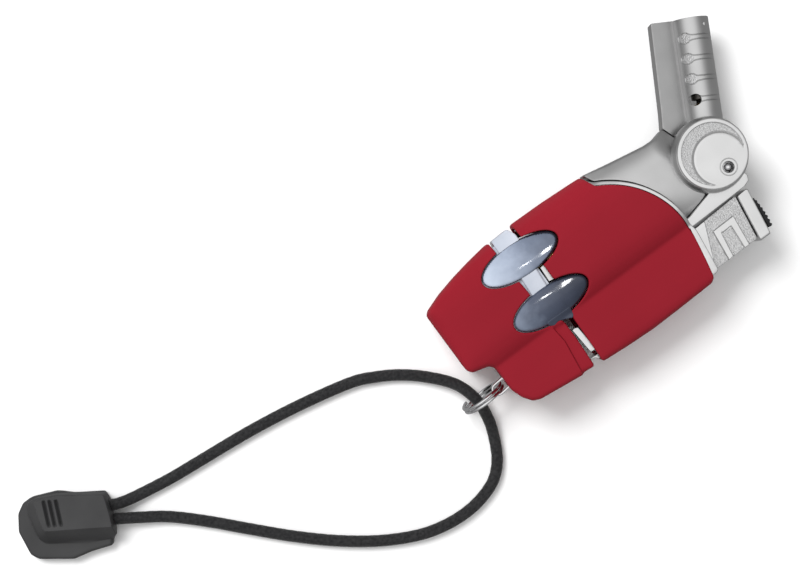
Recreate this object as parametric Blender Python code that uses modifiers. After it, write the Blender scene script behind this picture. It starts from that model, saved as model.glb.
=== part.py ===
"""Pocket butane torch with a piezo trigger, a pivoting burner head and a wrist lanyard.

The torch lies on its side.  X runs along the body towards the thumb button, Y across it
towards the side the burner stands up on, and Z up from the surface the torch lies on.
The origin is on the flat crown of the front shell's lower side.  Lengths in this file are
millimetres; MM turns them into Blender's metres.
"""
import math

import bmesh
import bpy
from mathutils import Matrix, Vector

MM = 0.001
GAP = 0.3

# ---------------------------------------------------------------- driving dimensions
MID = 10.0                       # height of the torch's middle plane
CREASE_TILT = math.radians(6.3)  # slope of the crease, the button's slide and the piezo
SHELL_WALL = 1.2
SLEEVE_DROP = 1.5                # how far the chassis sleeve lies under the outer surface
SLEEVE_WALL = 0.6
TANK_DROP = 1.6
TANK_WALL = 1.0
THINNEST = 0.2                   # half thickness left where a lowered form would vanish

ARC_CENTRE = (-3.9, -9.5)        # the front shell's round end towards the burner
ARC_SHELL = 23.4
ARC_SLEEVE = 24.4
ARC_NECK = 24.7

HUB = (33.2, 4.8)                # the burner head's pivot
HUB_RADIUS = 8.8
CHEEK_INNER = 5.0
CHEEK_OUTER = 8.2
CAP_INNER = 8.5
NECK_HALF = 6.5
EYE_HALF = 4.0
AXLE_RADIUS = 2.5
PLATEAU = (34.1, 2.8)
RIVET = (34.9, 0.1)

BARREL_ANGLE = math.radians(68.4)
BARREL_OFFSET = -1.5             # the burner's bore runs this far beside the pivot
BARREL_LENGTH = 34.6
BARREL_RADIUS = 4.2
BORE_RADIUS = 3.2

PIEZO_Q = -18.2                  # the piezo's axis, across the crease direction
BLOCK_HALF = 4.9
BUTTON_TRAVEL = 6.0
VALVE_Y = 2.5                    # the gas valve's axis
LEVER_PIN = (2.5, -8.8)
SCREWS = ((10.5, 6.0), (15.0, -2.0))
LUG = (-40.6, -19.5)
RING_CENTRE = (-44.9, -19.3, 6.3)
RING_RADIUS = 5.6

CORD_RADIUS = 1.5
CORD_END = (-153.0, 4.9)
CORD_END_ANGLE = math.radians(-24.0)
MOUTH_Z = 3.5

# ---------------------------------------------------------------- outlines
# Plan outlines run anticlockwise.
LEFT_SIDE = [(-25.2, 13.3), (-31.0, 11.8), (-36.3, 10.2), (-41.6, 8.3), (-46.3, 6.0),
             (-47.1, 5.0), (-45.3, -11.1), (-44.3, -12.3), (-39.9, -13.0), (-38.8, -14.2),
             (-38.2, -19.1), (-38.0, -21.0), (-36.7, -23.7), (-34.8, -25.8), (-33.0, -26.4),
             (-20.3, -26.4)]
# The same side with its small corners left out, for the hollows inside it.
LEFT_SIDE_PLAIN = [(-25.2, 13.3), (-36.3, 10.1), (-46.7, 5.6), (-44.8, -12.5), (-38.6, -13.6),
                   (-38.0, -21.6), (-34.4, -26.3), (-20.3, -26.4)]
GAP_LEFT = [(-17.3, -26.2), (-17.8, -18.0), (-18.4, -12.9), (-21.6, -7.0), (-22.5, -2.8),
            (-23.3, 1.6), (-24.5, 10.0), (-24.9, 13.2)]
GAP_RIGHT = [(-17.7, 14.3), (-17.3, 10.8), (-16.1, 2.1), (-15.6, -2.8), (-15.6, -9.0),
             (-16.1, -13.0), (-15.0, -25.9)]
BOTTOM = [(-14.5, -26.1), (-8.0, -25.9), (0.0, -25.4), (8.0, -24.3), (18.0, -22.8)]
RIGHT_SIDE = [(18.9, -21.7), (19.7, -14.5)]
TOP = [(3.2, 15.4), (2.6, 16.0), (-7.6, 15.4), (-17.2, 14.5)]

# Half thickness of the body across the crease direction: (position, half thickness).
SECTION = [(-27.0, 3.5), (-26.0, 5.2), (-24.5, 6.9), (-23.0, 7.4), (-20.0, 7.5),
           (-11.0, 7.4), (-10.0, 7.4), (-9.0, 7.9), (-7.0, 8.9), (-4.5, 9.7), (-2.0, 10.0),
           (3.0, 10.0), (5.0, 9.9), (9.0, 9.3), (12.0, 8.3), (14.5, 6.6), (16.0, 4.5),
           (18.0, 2.0)]
# Half thickness along the body, which rounds its closed end off.
LENGTHWISE = [(-47.6, 6.5), (-46.2, 8.4), (-43.8, 9.6), (-40.0, 10.0), (40.0, 10.0)]

# Lenses of the four windows: centre, half axes and tilt in degrees.
WINDOWS = {"upper": ((-20.4, 6.0), (10.6, 4.3), 4.0),
           "lower": ((-19.1, -7.1), (10.5, 4.4), 5.0)}

# The cord's route between the cord end's two mouths, through the ring.
CORD_ROUTE = [(-137.5, 2.7, 2.6), (-133.1, 2.2, 1.7), (-124.5, 1.8, 1.5), (-115.9, 1.9, 1.5),
              (-100.6, 2.1, 1.5), (-86.3, 1.5, 1.5), (-72.5, 0.0, 1.5),
              (-66.2, -1.9, 1.5), (-60.4, -4.6, 1.5), (-54.8, -8.4, 1.8), (-49.3, -13.6, 3.3),
              (-46.7, -19.3, 4.6), (-46.4, -24.9, 3.3), (-47.4, -30.0, 1.8),
              (-49.6, -35.6, 1.5), (-52.9, -39.6, 1.5), (-57.6, -42.1, 1.5),
              (-63.4, -43.5, 1.5), (-70.0, -43.6, 1.5), (-77.0, -42.3, 1.5),
              (-86.0, -38.7, 1.5), (-95.5, -33.2, 1.5), (-104.6, -26.6, 1.5),
              (-113.2, -19.5, 1.5), (-121.6, -12.4, 1.5), (-129.3, -6.6, 1.6),
              (-136.0, -2.8, 2.4)]
CORD_MOUTHS = ((12.0, 3.9), (12.0, 0.3))
CORD_SOCKET_DEPTH = 5.0

RED = (0.27, 0.012, 0.025)
ZINC = (0.55, 0.55, 0.55)
STEEL = (0.62, 0.62, 0.63)
BRASS = (0.62, 0.42, 0.14)
BLACK = (0.02, 0.02, 0.022)
SMOKE = (0.10, 0.13, 0.19)
CERAMIC = (0.85, 0.84, 0.80)


# ---------------------------------------------------------------- scene and materials
def clear_scene():
    for obj in list(bpy.data.objects):
        bpy.data.objects.remove(obj)


def make_collection(name):
    collection = bpy.data.collections.new(name)
    bpy.context.scene.collection.children.link(collection)
    return collection


clear_scene()
PARTS = make_collection("butane_torch")
GUIDES = make_collection("guides")


def make_material(name, colour, roughness, metallic):
    material = bpy.data.materials.new(name)
    material.use_nodes = True
    shader = material.node_tree.nodes["Principled BSDF"]
    shader.inputs["Base Color"].default_value = (*colour, 1.0)
    shader.inputs["Roughness"].default_value = roughness
    shader.inputs["Metallic"].default_value = metallic
    return material


MATERIALS = {
    "red_shell": make_material("red_shell", RED, 0.55, 0.0),
    "zinc": make_material("zinc", ZINC, 0.38, 1.0),
    "steel": make_material("steel", STEEL, 0.25, 1.0),
    "brass": make_material("brass", BRASS, 0.3, 1.0),
    "black_plastic": make_material("black_plastic", BLACK, 0.5, 0.0),
    "black_rubber": make_material("black_rubber", BLACK, 0.7, 0.0),
    "smoke_lens": make_material("smoke_lens", SMOKE, 0.12, 0.0),
    "cord": make_material("cord", BLACK, 0.8, 0.0),
    "ceramic": make_material("ceramic", CERAMIC, 0.35, 0.0),
}


def as_part(obj, name, material):
    """Name a finished object and put it with the torch's parts."""
    for collection in list(obj.users_collection):
        collection.objects.unlink(obj)
    PARTS.objects.link(obj)
    obj.name = name
    obj.data.materials.clear()
    obj.data.materials.append(MATERIALS[material])
    obj.hide_render = False
    obj.display_type = "TEXTURED"
    return obj


def as_guide(obj):
    obj.hide_render = True
    obj.display_type = "WIRE"
    return obj


# ---------------------------------------------------------------- shape helpers
def new_object(name, data):
    obj = bpy.data.objects.new(name, data)
    GUIDES.objects.link(obj)
    return as_guide(obj)


def curve_to_mesh(obj):
    """Swap a curve object for a mesh with its caps welded on."""
    bpy.context.view_layer.update()
    graph = bpy.context.evaluated_depsgraph_get()
    mesh = bpy.data.meshes.new_from_object(obj.evaluated_get(graph))
    shape = bmesh.new()
    shape.from_mesh(mesh)
    bmesh.ops.remove_doubles(shape, verts=shape.verts, dist=0.000001)
    bmesh.ops.recalc_face_normals(shape, faces=shape.faces)
    shape.to_mesh(mesh)
    shape.free()
    solid = new_object(obj.name, mesh)
    solid.matrix_world = obj.matrix_world.copy()
    bpy.data.objects.remove(obj)
    return solid


def prism(name, outline, low, high, frame=None):
    """A flat outline raised from low to high along the frame's Z."""
    curve = bpy.data.curves.new(name, "CURVE")
    curve.dimensions = "2D"
    curve.fill_mode = "BOTH"
    curve.extrude = (high - low) / 2 * MM
    spline = curve.splines.new("POLY")
    spline.points.add(len(outline) - 1)
    for point, (x, y) in zip(spline.points, outline):
        point.co = (x * MM, y * MM, 0.0, 1.0)
    spline.use_cyclic_u = True
    obj = new_object(name, curve)
    centre = Matrix.Translation((0.0, 0.0, (high + low) / 2 * MM))
    obj.matrix_world = (frame or Matrix.Identity(4)) @ centre
    return curve_to_mesh(obj)


def box(name, low, high, frame=None):
    (x0, y0, z0), (x1, y1, z1) = low, high
    return prism(name, [(x0, y0), (x1, y0), (x1, y1), (x0, y1)], z0, z1, frame)


def along(start, end):
    """A frame at start whose Z points to end, and the distance between them."""
    start, end = Vector(start), Vector(end)
    direction = end - start
    turn = direction.to_track_quat("Z", "Y").to_matrix().to_4x4()
    return Matrix.Translation(start * MM) @ turn, direction.length


def rod(name, start, end, radius, segments=24):
    """A solid cylinder from start to end."""
    frame, length = along(start, end)
    shape = bmesh.new()
    bmesh.ops.create_cone(shape, cap_ends=True, segments=segments, radius1=radius * MM,
                          radius2=radius * MM, depth=length * MM,
                          matrix=Matrix.Translation((0.0, 0.0, length / 2 * MM)))
    mesh = bpy.data.meshes.new(name)
    shape.to_mesh(mesh)
    shape.free()
    obj = new_object(name, mesh)
    obj.matrix_world = frame
    return obj


def turned(name, profile, start, end, segments=24):
    """A turned piece: (radius, distance from start) down its outer side."""
    frame, _ = along(start, end)
    closed = profile[0][0] > 0.0
    count = len(profile)
    edges = [(i, i + 1) for i in range(count - 1)]
    if closed:
        edges.append((count - 1, 0))
    mesh = bpy.data.meshes.new(name)
    mesh.from_pydata([(r * MM, 0.0, z * MM) for r, z in profile], edges, [])
    obj = new_object(name, mesh)
    obj.matrix_world = frame
    screw = obj.modifiers.new("turn", "SCREW")
    screw.steps = segments
    screw.render_steps = segments
    screw.use_merge_vertices = True
    screw.merge_threshold = 0.00001
    return obj


def ring_profile(inner, outer, low, high):
    """The cross-section of a plain ring, outer side first and downwards."""
    return [(outer, high), (outer, low), (inner, low), (inner, high)]


def wire(name, points, radius, material, resolution=2):
    """A round wire, hose or cord along the points."""
    curve = bpy.data.curves.new(name, "CURVE")
    curve.dimensions = "3D"
    curve.bevel_depth = radius * MM
    curve.bevel_resolution = resolution
    curve.resolution_u = 1
    curve.render_resolution_u = 0
    curve.use_fill_caps = True
    spline = curve.splines.new("POLY")
    spline.points.add(len(points) - 1)
    for point, place in zip(spline.points, points):
        point.co = (*(Vector(place) * MM), 1.0)
    obj = new_object(name, curve)
    return as_part(obj, name, material)


def combine(obj, operation, *others):
    for other in others:
        modifier = obj.modifiers.new(other.name, "BOOLEAN")
        modifier.operation = operation
        modifier.object = other
        as_guide(other)
    return obj


def cut(obj, *others):
    return combine(obj, "DIFFERENCE", *others)


def join(obj, *others):
    return combine(obj, "UNION", *others)


def keep_inside(obj, *others):
    return combine(obj, "INTERSECT", *others)


# ---------------------------------------------------------------- outlines in the plan
def arc(centre, radius, start, end, steps):
    """Points on an arc, with its angles in degrees."""
    points = []
    for i in range(steps + 1):
        angle = math.radians(start + (end - start) * i / steps)
        points.append((centre[0] + radius * math.cos(angle),
                       centre[1] + radius * math.sin(angle)))
    return points


def ellipse(centre, half_axes, tilt, grow=0.0, steps=36):
    turn = math.radians(tilt)
    points = []
    for x, y in arc((0.0, 0.0), 1.0, 0.0, 360.0 * (steps - 1) / steps, steps - 1):
        x, y = x * (half_axes[0] + grow), y * (half_axes[1] + grow)
        points.append((centre[0] + x * math.cos(turn) - y * math.sin(turn),
                       centre[1] + x * math.sin(turn) + y * math.cos(turn)))
    return points


def inset(outline, distance):
    """Move every side of an anticlockwise outline inwards."""
    result = []
    count = len(outline)
    for i in range(count):
        here = Vector(outline[i])
        before = (here - Vector(outline[i - 1])).normalized()
        after = (Vector(outline[(i + 1) % count]) - here).normalized()
        normal_before = Vector((-before.y, before.x))
        normal_after = Vector((-after.y, after.x))
        bisector = (normal_before + normal_after).normalized()
        result.append(tuple(here + bisector * distance / bisector.dot(normal_before)))
    return result


def shifted(points, dx):
    return [(x + dx, y) for x, y in points]


def slanted(p, q):
    """A point given along (p) and across (q) the crease direction."""
    cosine, sine = math.cos(CREASE_TILT), math.sin(CREASE_TILT)
    return (p * cosine - q * sine, p * sine + q * cosine)


def in_barrel(s, t):
    """A plan point given along (s) and to the left (t) of the barrel's pivot line."""
    cosine, sine = math.cos(BARREL_ANGLE), math.sin(BARREL_ANGLE)
    return (HUB[0] + s * cosine - t * sine, HUB[1] + s * sine + t * cosine)


def at_mid(point, rise=0.0):
    return (point[0], point[1], MID + rise)


REAR_OUTLINE = LEFT_SIDE + GAP_LEFT
FRONT_OUTLINE = (GAP_RIGHT + BOTTOM + RIGHT_SIDE
                 + arc(ARC_CENTRE, ARC_SHELL, 5.0, 68.6, 14) + TOP)
OPEN_RIGHT = [(30.0, -21.2), (30.0, 17.5)]
LONG_OUTLINE = LEFT_SIDE_PLAIN + BOTTOM + OPEN_RIGHT + TOP[1:]


# ---------------------------------------------------------------- the body's form
def mirrored_profile(profile, drop):
    """A closed profile round the middle plane, anticlockwise."""
    heights = [(x, max(half - drop, THINNEST)) for x, half in profile]
    return [(x, MID - h) for x, h in heights] + [(x, MID + h) for x, h in reversed(heights)]


def section_solid(drop):
    """The body's cross-section, lowered by drop and swept along the crease."""
    cosine, sine = math.cos(CREASE_TILT), math.sin(CREASE_TILT)
    frame = Matrix(((-sine, 0.0, cosine, 0.0), (cosine, 0.0, sine, 0.0),
                    (0.0, 1.0, 0.0, 0.0), (0.0, 0.0, 0.0, 1.0)))
    return prism("section", mirrored_profile(SECTION, drop), -70.0, 70.0, frame)


def lengthwise_solid(drop):
    frame = Matrix(((1.0, 0.0, 0.0, 0.0), (0.0, 0.0, -1.0, 0.0),
                    (0.0, 1.0, 0.0, 0.0), (0.0, 0.0, 0.0, 1.0)))
    return prism("lengthwise", mirrored_profile(LENGTHWISE, drop), -40.0, 40.0, frame)


def body_blank(name, outline, drop):
    """The part of the body's form inside an outline, drop under its outer surface."""
    blank = prism(name, outline, MID - 12.0, MID + 12.0)
    return keep_inside(blank, section_solid(drop), lengthwise_solid(drop))


def hollow(drop):
    return body_blank("hollow", inset(LONG_OUTLINE, drop), drop)


# ---------------------------------------------------------------- shells and windows
def window_holes(grow):
    holes = []
    for centre, half_axes, tilt in WINDOWS.values():
        outline = ellipse(centre, half_axes, tilt, grow)
        holes.append(prism("window_hole", outline, MID - 12.0, MID + 12.0))
    return holes


def make_shells():
    rear = body_blank("rear", REAR_OUTLINE, 0.0)
    cut(rear, hollow(SHELL_WALL), *window_holes(GAP))
    cut(rear, rod("fill_hole", (-50, -4.5, MID), (-42, -4.5, MID), 2.5))
    cut(rear, rod("dial_hole", (-50, VALVE_Y, MID), (-42, VALVE_Y, MID), 2.7))
    cut(rear, box("lug_slot", (-40.0, LUG[1] - 2.25, MID - 0.8), (-36.0, LUG[1] + 2.25, MID + 0.8)))
    as_part(rear, "rear_shell", "red_shell")

    front = body_blank("front", FRONT_OUTLINE, 0.0)
    cut(front, hollow(SHELL_WALL), *window_holes(GAP))
    for x, y in SCREWS:
        cut(front, rod("screw_hole", (x, y, -1.0), (x, y, 3.0), 2.3))
    as_part(front, "front_shell", "red_shell")


def make_windows():
    for level, (centre, half_axes, tilt) in WINDOWS.items():
        outline = ellipse(centre, half_axes, tilt)
        for side, low, high in (("front", MID + 3.0, MID + 12.0), ("back", MID - 12.0, MID - 3.0)):
            lens = prism("lens", outline, low, high)
            keep_inside(lens, section_solid(0.0))
            cut(lens, section_solid(SHELL_WALL))
            as_part(lens, f"window_{level}_{side}", "smoke_lens")


# ---------------------------------------------------------------- tank and valves
def tank_region(margin):
    right = shifted(GAP_RIGHT[:6], -1.5 - margin)
    floor = -9.4 + margin
    return [(-60.0, 20.0)] + [slanted(-70.0, floor), slanted(-18.6 - margin, floor)] \
        + [point for point in reversed(right) if point[1] > -11.0] + [(right[0][0], 20.0)]


def make_tank():
    tank = body_blank("tank", inset(LONG_OUTLINE, TANK_DROP), TANK_DROP)
    keep_inside(tank, prism("tank_region", tank_region(0.0), MID - 12.0, MID + 12.0))
    inside = body_blank("tank_inside", inset(LONG_OUTLINE, TANK_DROP + TANK_WALL),
                        TANK_DROP + TANK_WALL)
    keep_inside(inside, prism("tank_inner", tank_region(TANK_WALL), MID - 12.0, MID + 12.0))
    cut(tank, inside)
    cut(tank, rod("valve_hole", (-22, VALVE_Y, MID), (-14, VALVE_Y, MID), 3.3))
    cut(tank, rod("fill_hole", (-50, -4.5, MID), (-42, -4.5, MID), 2.5))
    cut(tank, rod("shaft_hole", (-50, VALVE_Y, MID), (-42, VALVE_Y, MID), 1.0))
    as_part(tank, "fuel_tank", "smoke_lens")

    seal_x = -15.2
    seal = [(3.9 + 0.55 * math.cos(a), 0.55 * math.sin(a))
            for a in (math.radians(90 - 36 * i) for i in range(10))]
    obj = turned("seal", seal, (seal_x, VALVE_Y, MID), (seal_x + 1.0, VALVE_Y, MID))
    as_part(obj, "tank_seal", "black_rubber")


def make_gas_valve():
    start, end = (-21.0, VALVE_Y, MID), (-4.5, VALVE_Y, MID)
    profile = [(0.0, 9.0), (1.0, 9.0), (1.0, 16.5), (2.2, 16.5), (2.2, 14.0), (3.0, 14.0),
               (3.0, 8.0), (4.6, 8.0), (4.6, 7.0), (3.0, 7.0), (3.0, 0.0), (0.0, 0.0)]
    body = turned("valve", profile, start, end)
    join(body, rod("nipple", (-9.0, VALVE_Y + 1.5, MID), (-9.0, 7.0, MID), 0.9, 12))
    as_part(body, "gas_valve_body", "brass")

    stem = turned("stem", [(0.0, 16.2), (2.0, 16.2), (2.0, 15.5), (0.7, 15.5), (0.7, 0.0),
                           (0.0, 0.0)], (-11.7, VALVE_Y, MID), (4.5, VALVE_Y, MID), 16)
    as_part(stem, "valve_stem", "brass")


def make_base_fittings():
    fill = turned("fill", [(0.0, 6.0), (2.2, 6.0), (2.2, 0.0), (0.9, 0.0), (0.9, 5.0),
                           (0.0, 5.0)], (-45.7, -4.5, MID), (-38.0, -4.5, MID), 20)
    as_part(fill, "fill_valve_body", "brass")
    stem = rod("fill_stem", (-46.0, -4.5, MID), (-42.2, -4.5, MID), 0.6, 12)
    as_part(stem, "fill_valve_stem", "steel")

    dial = turned("dial", [(0.0, 25.0), (0.7, 25.0), (0.7, 1.3), (2.4, 1.3), (2.4, 0.0),
                           (0.0, 0.0)], (-46.5, VALVE_Y, MID), (-21.5, VALVE_Y, MID), 24)
    cut(dial, box("dial_slot", (-47.0, VALVE_Y - 0.4, MID - 3.0), (-46.0, VALVE_Y + 0.4, MID + 3.0)))
    as_part(dial, "flame_adjuster", "black_plastic")


# ---------------------------------------------------------------- chassis and neck
def make_chassis():
    left = shifted(GAP_RIGHT, -0.9)
    outline = (left[:-1] + [(-16.2, -30.0), (19.3, -30.0), (19.7, -20.9), (20.7, -9.2)]
               + arc(ARC_CENTRE, ARC_SLEEVE, 4.6, 67.0, 14)
               + [(4.8, 13.3), (3.2, 16.0), (3.2, 20.0), (-18.6, 20.0)])
    sleeve = body_blank("sleeve", inset(LONG_OUTLINE, SLEEVE_DROP), SLEEVE_DROP)
    keep_inside(sleeve, prism("sleeve_outline", outline, MID - 12.0, MID + 12.0))
    cut(sleeve, hollow(SLEEVE_DROP + SLEEVE_WALL))
    wedge = ([(18.6, -6.4), (21.0, -6.2), (27.1, -3.8)]
             + arc(HUB, HUB_RADIUS + 0.4, 239.0, 303.0, 8)
             + [(38.8, -4.0), (38.3, -5.7), (36.9, -6.4), (21.4, -8.0), (18.6, -8.3)])
    join(sleeve, prism("wedge", wedge[::-1], MID - 6.2, MID + 6.2))
    cut(sleeve, rod("pin_hole", at_mid(LEVER_PIN, -9.0), at_mid(LEVER_PIN, 9.0), 1.1, 16))
    for x, y in SCREWS:
        cut(sleeve, rod("screw_hole", (x, y, 0.0), (x, y, 4.0), 1.3, 16))
    as_part(sleeve, "chassis", "zinc")


def make_neck():
    plan = ([(3.7, 16.1), (5.3, 13.4)]
            + arc(ARC_CENTRE, ARC_NECK, 66.5, 8.2, 14)
            + [(27.0, -3.5), (30.0, 0.0), (31.0, 8.0), (28.4, 12.4), (26.2, 16.0),
               (24.0, 15.1), (20.6, 14.9), (9.6, 15.6)])
    neck = prism("neck", plan[::-1], MID - NECK_HALF, MID + NECK_HALF)
    for side in (-1, 1):
        low, high = sorted((MID + side * CHEEK_INNER, MID + side * CHEEK_OUTER))
        join(neck, rod("cheek", (*HUB, low), (*HUB, high), HUB_RADIUS, 48))
    tongue = body_blank("tongue", inset(LONG_OUTLINE, SLEEVE_DROP + SLEEVE_WALL + GAP),
                        SLEEVE_DROP + SLEEVE_WALL + GAP)
    band = arc(ARC_CENTRE, 17.5, 68.0, 14.0, 10) + arc(ARC_CENTRE, 26.0, 12.0, 66.0, 10)
    keep_inside(tongue, prism("tongue_outline", band, MID - 12.0, MID + 12.0))
    join(neck, tongue)
    cut(neck, rod("eye_slot", at_mid(HUB, -CHEEK_INNER), at_mid(HUB, CHEEK_INNER),
                  HUB_RADIUS + 0.4, 48))
    cut(neck, rod("axle_hole", at_mid(HUB, -11.0), at_mid(HUB, 11.0), AXLE_RADIUS + GAP))
    cut(neck, box("hose_channel", (-2.0, 3.2, MID - 2.9), (30.0, 10.3, MID + 2.9)))
    for z_low, z_high in ((MID + 5.2, MID + 9.0), (MID - 9.0, MID - 5.2)):
        cut(neck, rod("rivet_hole", (*RIVET, z_low), (*RIVET, z_high), 1.1, 16))
    for x, y in SCREWS:
        cut(neck, rod("screw_hole", (x, y, 1.0), (x, y, 6.8), 1.3, 16))
    as_part(neck, "neck_casting", "zinc")


def make_screws():
    for number, (x, y) in enumerate(SCREWS, 1):
        profile = [(0.0, 6.1), (1.0, 6.1), (1.0, 0.8), (2.0, 0.8), (2.0, 0.0), (0.0, 0.0)]
        screw = turned("screw", profile, (x, y, 0.35), (x, y, 6.5), 20)
        cut(screw, box("screw_slot", (x - 3.0, y - 0.3, 0.0), (x + 3.0, y + 0.3, 0.75)))
        as_part(screw, f"case_screw_{number}", "steel")


# ---------------------------------------------------------------- hub and burner head
def make_hub():
    for side, sign in (("front", 1), ("back", -1)):
        start, end = at_mid(HUB, sign * CAP_INNER), at_mid(HUB, sign * MID)
        cap = rod("cap", start, end, HUB_RADIUS, 48)
        face = sign * MID
        recess = prism("recess", arc(HUB, 7.7, 0.0, 352.5, 47), *sorted(
            (MID + sign * 9.4, MID + sign * 11.0)))
        cut(recess, rod("plateau", at_mid(PLATEAU, sign * 9.0), at_mid(PLATEAU, sign * 12.0),
                        6.35, 48))
        cut(cap, recess)
        cut(cap, rod("rivet_hole", at_mid(RIVET, sign * 8.0), at_mid(RIVET, sign * 11.0), 1.1, 16))
        cut(cap, rod("counterbore", at_mid(RIVET, sign * 8.9), at_mid(RIVET, sign * 11.0), 1.9))
        as_part(cap, f"hub_cap_{side}", "zinc")
        rivet = turned("rivet", [(0.0, 4.4), (0.6, 4.35), (1.1, 4.1), (1.3, 3.75), (0.75, 3.7),
                                 (0.75, 0.0), (0.0, 0.0)],
                       at_mid(RIVET, sign * 5.5), at_mid(RIVET, face), 16)
        as_part(rivet, f"hub_rivet_{side}", "steel")
        washer = turned("washer", ring_profile(2.8, 5.6, 4.3, 4.7), at_mid(HUB),
                        at_mid(HUB, sign * 5.0))
        as_part(washer, f"friction_washer_{side}", "steel")

    axle = turned("axle", ring_profile(1.2, AXLE_RADIUS, 0.0, 16.0), at_mid(HUB, -8.0),
                  at_mid(HUB, 8.0))
    nipple = rod("axle_nipple", (HUB[0] - 4.6, HUB[1], MID), (HUB[0] - 1.8, HUB[1], MID), 0.9, 12)
    join(axle, nipple)
    as_part(axle, "pivot_axle", "brass")


def make_burner_head():
    eye = rod("eye", at_mid(HUB, -EYE_HALF), at_mid(HUB, EYE_HALF), HUB_RADIUS, 48)
    barrel = rod("barrel", at_mid(in_barrel(2.0, BARREL_OFFSET)),
                 at_mid(in_barrel(BARREL_LENGTH, BARREL_OFFSET)), BARREL_RADIUS, 32)
    fin = [in_barrel(BARREL_LENGTH, 9.7), (28.3, 20.0), (27.4, 17.9), (26.7, 16.4),
           (28.9, 12.6), (33.0, 8.0), in_barrel(10.0, 0.0), in_barrel(BARREL_LENGTH, 0.0)]
    join(eye, barrel, prism("fin", fin, MID - 3.0, MID + 3.0))
    bore = (at_mid(in_barrel(11.0, BARREL_OFFSET)), at_mid(in_barrel(36.0, BARREL_OFFSET)))
    cut(eye, rod("bore", *bore, BORE_RADIUS, 28))
    cut(eye, rod("gas_way", at_mid(in_barrel(2.0, BARREL_OFFSET)),
                 at_mid(in_barrel(12.0, BARREL_OFFSET)), 0.95, 12))
    cut(eye, rod("axle_hole", at_mid(HUB, -6.0), at_mid(HUB, 6.0), AXLE_RADIUS + GAP))
    cut(eye, rod("air_hole", (37.4, 18.4, MID - 7.0), (37.4, 18.4, MID + 7.0), 1.5, 20))
    pocket = ([(HUB[0] + 1.5, HUB[1] + 1.3)] + arc(HUB, 12.0, 173.8, 256.0, 8)
              + [(HUB[0] + 1.4, HUB[1] - 0.4)])
    cut(eye, prism("hose_pocket", pocket, MID - 1.6, MID + 1.6))
    cut(eye, rod("wire_bore", at_mid(in_barrel(14.0, 5.6)), at_mid(in_barrel(36.0, 5.6)), 1.4, 16))
    slot = [in_barrel(31.5, -1.0), in_barrel(31.5, 5.6), in_barrel(36.0, 5.6), in_barrel(36.0, -1.0)]
    cut(eye, prism("wire_slot", slot[::-1], MID - 0.9, MID + 0.9))
    as_part(eye, "burner_head", "zinc")

    def on_bore(s):
        return at_mid(in_barrel(s, BARREL_OFFSET))

    jet = turned("jet", [(0.0, 8.5), (0.6, 8.5), (1.0, 8.0), (2.2, 7.6), (2.2, 5.7), (0.6, 5.7),
                         (0.6, 0.0), (0.0, 0.0)], on_bore(5.6), on_bore(14.0), 16)
    as_part(jet, "gas_jet", "brass")
    tube = turned("tube", ring_profile(2.4, 2.8, 0.0, 18.6), on_bore(14.4), on_bore(33.0), 28)
    as_part(tube, "burner_tube", "steel")
    screen = rod("screen", on_bore(30.0), on_bore(30.4), 2.1, 20)
    as_part(screen, "flame_screen", "steel")
    insulator = turned("insulator", ring_profile(0.5, 1.1, 0.0, 13.5),
                       at_mid(in_barrel(16.5, 5.6)), at_mid(in_barrel(30.0, 5.6)), 16)
    as_part(insulator, "electrode_insulator", "ceramic")
    route = [(15.0, 5.6), (25.0, 5.6), (32.2, 5.6), (32.9, 5.3), (33.2, 4.6), (33.3, 1.9)]
    wire("igniter_electrode", [at_mid(in_barrel(s, t)) for s, t in route], 0.3, "steel")


# ---------------------------------------------------------------- trigger and igniter
def in_piezo(p, rise=0.0, q=PIEZO_Q):
    return at_mid(slanted(p, q), rise)


def make_button():
    ramp_low, ramp_high = (-7.0, -12.6), (1.0, -11.4)
    outline = [(17.0, -22.3), (18.7, -22.3), (31.1, -22.3), (32.8, -11.4), ramp_high, ramp_low,
               (-8.0, -12.6), (-8.0, -13.9), (17.0, -13.9)]
    block = prism("block", [slanted(p, q) for p, q in outline], MID - BLOCK_HALF, MID + BLOCK_HALF)
    for low, high in ((MID - 6.0, MID - 3.0), (MID + 3.0, MID + 6.0)):
        side = [slanted(p, q) for p, q in ((-9.0, -15.0), (16.0, -15.0), (16.0, -10.0), (-9.0, -10.0))]
        cut(block, prism("tail_side", side, low, high))
    as_part(block, "button_block", "zinc")

    cap_outline = [(34.1, -19.6), (34.6, -20.0), (36.5, -20.0), (37.0, -19.6), (37.0, -7.3),
                   (36.7, -7.0), (34.2, -7.0)]
    cap = prism("cap", cap_outline, MID - 6.0, MID + 6.0)
    cut(cap, box("foot_slot", (35.4, -16.6, MID - 1.8), (38.0, -12.0, MID + 1.8)))
    as_part(cap, "button_cap", "steel")


def make_safety_slider():
    pad = [(37.3, -18.2), (38.1, -18.4)]
    teeth = 7
    pitch = 8.2 / teeth
    for i in range(teeth):
        low = -18.3 + i * pitch
        reach = 38.75 - 0.05 * i
        pad += [(reach, low + 0.2), (reach, low + 0.65), (38.2, low + 0.85), (38.2, low + 1.1)]
    pad += [(38.0, -9.9), (37.3, -10.1)]
    slider = prism("pad", pad, MID - 4.0, MID + 4.0)
    join(slider, box("foot", (35.7, -16.3, MID - 1.5), (37.6, -14.2, MID + 1.5)))
    as_part(slider, "safety_slider", "black_rubber")


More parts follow.
